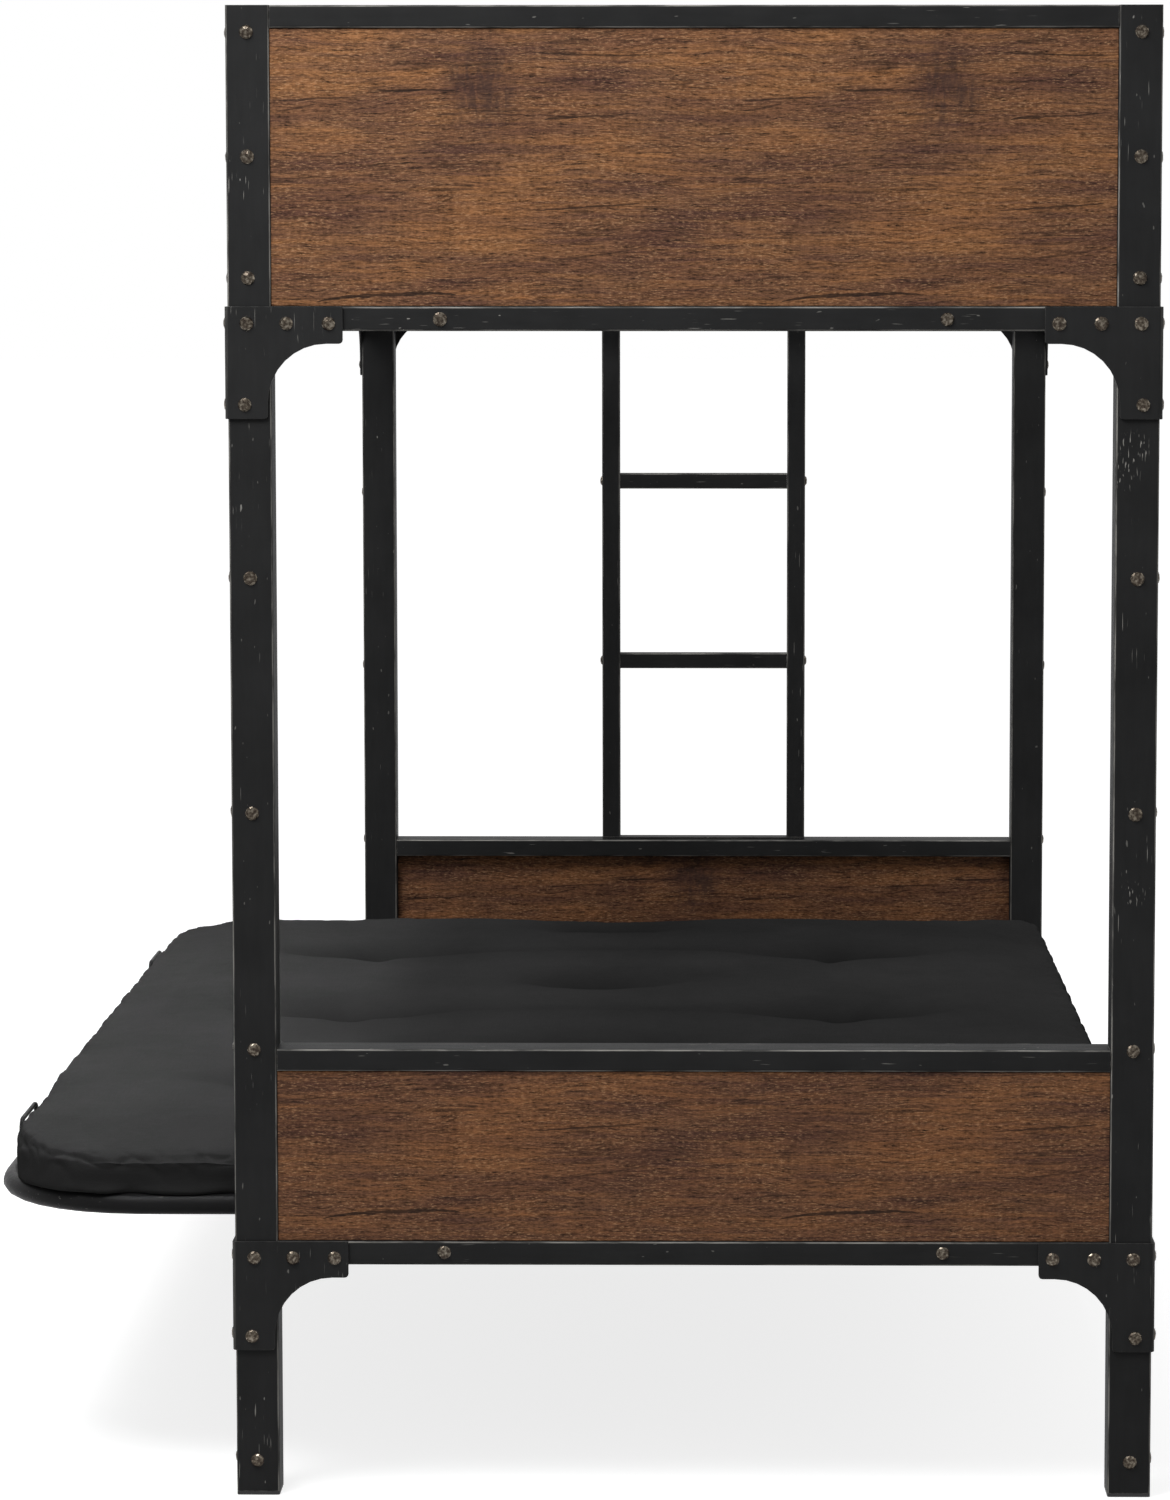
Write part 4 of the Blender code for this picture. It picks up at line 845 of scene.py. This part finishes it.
def calmed(mesh, start, co):
    """Limits the moves of the simulation, most of all near the walls, and evens them out."""
    move = co - start
    length = np.linalg.norm(move, axis=1)
    move *= (np.tanh(length / MOST_MOVE) * MOST_MOVE / np.maximum(length, 1e-9))[:, None]
    inside_y = np.minimum(start[:, 1] - PAD_Y0, PAD_Y1 - start[:, 1])
    inside = np.minimum(PAD_X - np.abs(start[:, 0]), inside_y)
    free = smooth01((inside - 0.012) / 0.070)
    move[:, :2] *= (0.06 + 0.94 * free)[:, None]
    move[:, 2] *= 0.25 + 0.75 * free
    edges = np.empty(len(mesh.edges) * 2, dtype=np.int32)
    mesh.edges.foreach_get("vertices", edges)
    edges = edges.reshape(-1, 2)
    links = np.bincount(edges.ravel(), minlength=len(co))[:, None]
    for _ in range(2):
        near = np.zeros_like(move)
        np.add.at(near, edges[:, 0], move[edges[:, 1]])
        np.add.at(near, edges[:, 1], move[edges[:, 0]])
        move = 0.4 * move + 0.6 * near / links
    return start + move


def wall_gap(co):
    """Distance in plan of each point from the outline of the mattress."""
    outline = np.array(pad_outline(0.0))
    gap = np.full(len(co), 1.0)
    for a, b in zip(outline, np.roll(outline, -1, axis=0)):
        side = b - a
        share = np.clip(((co[:, :2] - a) @ side) / (side @ side), 0, 1)
        gap = np.minimum(gap, np.linalg.norm(co[:, :2] - a - share[:, None] * side, axis=1))
    return gap


def refine_band(obj):
    """Splits the faces along the upper edge once more, where the cover puckers."""
    bm = bmesh.new()
    bm.from_mesh(obj.data)
    co = np.array([v.co for v in bm.verts])
    inside = (wall_gap(co) < EDGE_BAND) & (co[:, 2] > MID_Z - BAND_DOWN)
    band = [e for e in bm.edges if inside[e.verts[0].index] and inside[e.verts[1].index]]
    bmesh.ops.subdivide_edges(bm, edges=band, cuts=1, use_grid_fill=True)
    bm.to_mesh(obj.data)
    bm.free()


def ridge(point, power):
    """1 on thin winding lines, less beside them."""
    return (1 - abs(noise.noise(point))) ** power


def rumple_walls(co):
    """Ripples and pulls in the walls, and then each wall moved to its place."""
    wall = np.maximum(np.abs(co[:, 0]) - (PAD_X - 0.05), PAD_Y0 + 0.05 - co[:, 1])
    wall = np.maximum(smooth01(wall / 0.045), smooth01((co[:, 1] - (PAD_Y1 - 0.05)) / 0.045))
    for index in np.nonzero(wall)[0]:
        x, y, z = co[index]
        point = Vector((x * 11, y * 11, z * 20))
        ripple = noise.noise(point) * 0.0026 + noise.noise(point * 2.9) * 0.0024
        co[index, 2] += ripple * wall[index] * (1.0 if z > MID_Z else 0.3)
        pull = ridge(Vector((x * 7 + 3, y * 7, z * 30)), 4) * 0.0026 * wall[index]
        co[index, 0] -= math.copysign(pull, x) * smooth01((abs(x) - (PAD_X - 0.02)) / 0.02)
        co[index, 1] += pull * smooth01((PAD_Y0 + 0.02 - y) / 0.02)
    for axis, sign, place in WALLS:
        reach = sign * co[:, axis]
        gap = place - np.percentile(reach, 99.9)
        co[:, axis] += sign * gap * smooth01((reach - place + 0.10) / 0.09)
    at_loops = np.exp(-((np.abs(co[:, 0]) - LOOP_X) / LOOP_HALF) ** 4)
    co[:, 1] += LOOP_INSET * at_loops * smooth01((PAD_Y0 + 0.05 - co[:, 1]) / 0.045)


def pucker_edge(co, normals):
    """Lumps and folds along the upper edge, and slack folds in the walls below it."""
    gap = wall_gap(co)
    crown = smooth01((co[:, 2] - MID_Z + 0.012) / 0.024) * np.exp(-(gap / 0.020) ** 2)
    face = smooth01((co[:, 2] - PAD_Z0 - 0.008) / 0.02) * smooth01((0.012 - gap) / 0.008)
    for index in np.nonzero((crown > 0.02) | (face > 0.02))[0]:
        point = Vector(co[index])
        lump = noise.noise(point * 58) * 0.0013
        lump += noise.noise(point * 105 + Vector((4, 1, 7))) * 0.0007
        fold = ridge(point * 31 + Vector((2, 9, 5)), 6)
        slack = ridge(Vector((point.x * 19, point.y * 19, point.z * 34 + point.y * 9)), 5)
        pucker = crown[index] * (lump - 0.0022 * fold) - 0.0022 * face[index] * slack
        co[index] += normals[index] * pucker


def press_top(co):
    """Pulls the tufts and the creases between them down, and returns how deep each point lies, for
    the painted shade of the cloth.
    """
    pull_down = np.zeros(len(co))
    for x, y in TUFTS:
        dx, dy = np.abs(co[:, 0] - x), np.abs(co[:, 1] - y)
        reach = np.sqrt((dx / 0.052) ** 2 + (dy / 0.082) ** 2)
        pull_down = np.maximum(pull_down, TUFT_DEPTH * np.exp(-reach ** 1.2))
    for x in sorted(CREASE_X):
        wander = 0.006 * np.sin(co[:, 1] * 9 + x * 5)
        dx = np.abs(co[:, 0] - x - wander)
        fade = 1 - smooth01((np.abs(co[:, 1] - HINGE_Y) - 0.42) / 0.16)
        crease = 0.65 * np.exp(-(dx / 0.022) ** 2) + 0.35 * np.exp(-(dx / 0.070) ** 2)
        pull_down += CREASE_DEPTH * crease * fade * (1 - 0.5 * pull_down / TUFT_DEPTH)
    upper = smooth01((co[:, 2] - MID_Z - 0.004) / 0.012)
    co[:, 2] -= pull_down * upper
    return np.clip(pull_down / TUFT_SHADE_DEPTH, 0, 1) * upper


def settle(co):
    """Rounds the lower edge, keeps the cover inside its room, and lets it sag over the tube."""
    low = co[:, 2] < PAD_Z0 + UNDER_EDGE
    share = np.clip((co[low, 2] - PAD_Z0) / UNDER_EDGE, 0, 1)
    co[low, 2] = PAD_Z0 - 0.0006 + (UNDER_EDGE + 0.0006) * share ** 1.9
    co[:, 0] = np.clip(co[:, 0], -PAD_X - 0.001, PAD_X + 0.001)
    co[:, 1] = np.clip(co[:, 1], PAD_Y0 - 0.002, PAD_Y1 + 0.0060)
    co[:, 2] = np.clip(co[:, 2], PAD_Z0 - 0.0002, PAD_Z1 + 0.004)
    sag = smooth01((-0.335 - co[:, 1]) / 0.03) * smooth01((co[:, 1] + 0.60) / 0.04)
    sag *= smooth01((np.abs(co[:, 0]) - PAD_X + 0.003) / 0.0025)
    sag *= 1 - smooth01((co[:, 2] - PAD_Z0) / 0.012)
    co[:, 0] += np.sign(co[:, 0]) * SAG_OUT * sag
    co[:, 2] -= SAG_DOWN * sag


pad = new_object("mattress", pad_block(), CLOTH)
remesh = pad.modifiers.new("remesh", "REMESH")
remesh.mode = "VOXEL"
remesh.voxel_size = VOXEL
apply_modifiers(pad)
start = co_of(pad.data)
start_shape(start)
set_co(pad.data, start)
simulate(pad, start)
set_co(pad.data, calmed(pad.data, start, co_of(pad.data)))
subdivide = pad.modifiers.new("subdivide", "SUBSURF")
subdivide.levels = subdivide.render_levels = 1
apply_modifiers(pad)
refine_band(pad)
co = co_of(pad.data)
rumple_walls(co)
set_co(pad.data, co)
pucker_edge(co, normals_of(pad.data))
tuft_shade = press_top(co)
settle(co)
set_co(pad.data, co)
pad.data.shade_smooth()
for name, values in (("rest", co), ("rest_normal", normals_of(pad.data))):
    attribute = pad.data.attributes.new(name, "FLOAT_VECTOR", "POINT")
    attribute.data.foreach_set("vector", values.astype(np.float32).ravel())
# Share of the tuft depth, for the painted shade of the cloth in the tufts and creases.
attribute = pad.data.attributes.new("tuft_shade", "FLOAT", "POINT")
attribute.data.foreach_set("value", tuft_shade.astype(np.float32))
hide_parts("futon_seat", "futon_back")
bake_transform(pad)


# Floor, world and lamps

FLOOR_HALF, FLOOR_DROP = 60.0, 0.0005
FLOOR_GREY = (0.45, 0.45, 0.45, 1)
WHITE, NO_LIGHT = (1, 1, 1, 1), (0, 0, 0, 1)
AMBIENT = 0.36
# Lamps: name, place, target, size, watts, spread in degrees.
LAMPS = (("lamp_over", (-1.5, -0.66, 4.4), (-0.2, -0.4, 0.4), (3.0, 1.0), 116, 180),
         ("lamp_front", (2.2, -1.15, 3.4), (0.9, -0.05, 1.3), (1.6, 1.2), 83, 180),
         ("lamp_side", (2.2, 4.0, 2.8), (0.3, 0.15, 0.9), (2.4, 2.4), 20, 180),
         ("lamp_strip", (0.05, -0.64, 3.2), (0.05, -0.64, 0.4), (1.9, 0.25), 4.0, 24))


def floor_material():
    """Floor that glows pale to the camera and takes the shadow of the object."""
    s = Shader("studio_floor")
    away = s.measure("LENGTH", s.place)
    glow = s.add("Emission", {"Color": WHITE, "Strength": s.range(away, 1.2, 8.0, 0.80, 0.88)})
    none = s.add("Emission", {"Color": NO_LIGHT, "Strength": 0.0})
    plain = s.add("BsdfDiffuse", {"Color": FLOOR_GREY})
    pick = s.add("MixShader", {0: s.seen_directly(), 1: none.outputs[0], 2: glow.outputs[0]})
    both = s.add("AddShader", {0: pick.outputs[0], 1: plain.outputs[0]})
    s.add("OutputMaterial", {"Surface": both.outputs[0]})
    return s.material


def area_lamp(name, place, target, size, power, spread):
    data = bpy.data.lights.new(name, "AREA")
    data.shape = "RECTANGLE"
    data.size, data.size_y = size
    data.energy = power
    data.spread = math.radians(spread)
    obj = bpy.data.objects.new(name, data)
    bpy.context.scene.collection.objects.link(obj)
    obj.location = place
    aim = Vector(target) - Vector(place)
    obj.rotation_euler = aim.to_track_quat("-Z", "Y").to_euler()
    obj.visible_camera = False


floor_bm = bmesh.new()
bmesh.ops.create_grid(floor_bm, x_segments=8, y_segments=8, size=FLOOR_HALF)
floor = new_object("floor", floor_bm, floor_material())
floor.location.z = -FLOOR_DROP

world = bpy.data.worlds.new("studio")
bpy.context.scene.world = world
world.use_nodes = True
sky = Nodes(world.node_tree)
ambient = sky.add("Background", {"Color": WHITE, "Strength": AMBIENT})
white = sky.add("Background", {"Color": WHITE, "Strength": 1.0})
pick = sky.add("MixShader", {0: sky.seen_directly(), 1: ambient.outputs[0], 2: white.outputs[0]})
sky.add("OutputWorld", {"Surface": pick.outputs[0]})

for lamp in LAMPS:
    area_lamp(*lamp)


# Camera. Its place and its turn were fitted to the edges of the frame in the image.

IMAGE_W, IMAGE_H = 1170, 1500
FOCAL_PX = 4792.9
CENTRE_PX = (682.15, 689.9)
SENSOR = 36.0
EYE = (6.5183, 0.1941, 1.4443)
YAW, PITCH, ROLL = 0.0102, 0.0905, 0.0001

camera_data = bpy.data.cameras.new("camera")
camera_data.sensor_width = SENSOR
camera_data.lens = FOCAL_PX / IMAGE_H * SENSOR
camera_data.shift_x = (IMAGE_W / 2 - CENTRE_PX[0]) / IMAGE_H
camera_data.shift_y = (CENTRE_PX[1] - IMAGE_H / 2) / IMAGE_H
camera_data.clip_end = 200.0
camera = bpy.data.objects.new("camera", camera_data)
bpy.context.scene.collection.objects.link(camera)
camera.location = EYE
forward = Vector((-math.cos(YAW) * math.cos(PITCH), -math.sin(YAW) * math.cos(PITCH),
                  -math.sin(PITCH)))
turn = forward.to_track_quat("-Z", "Y").to_matrix() @ Matrix.Rotation(ROLL, 3, "Z")
camera.rotation_euler = turn.to_euler()
bpy.context.scene.camera = camera
bpy.context.scene.view_settings.view_transform = "Standard"
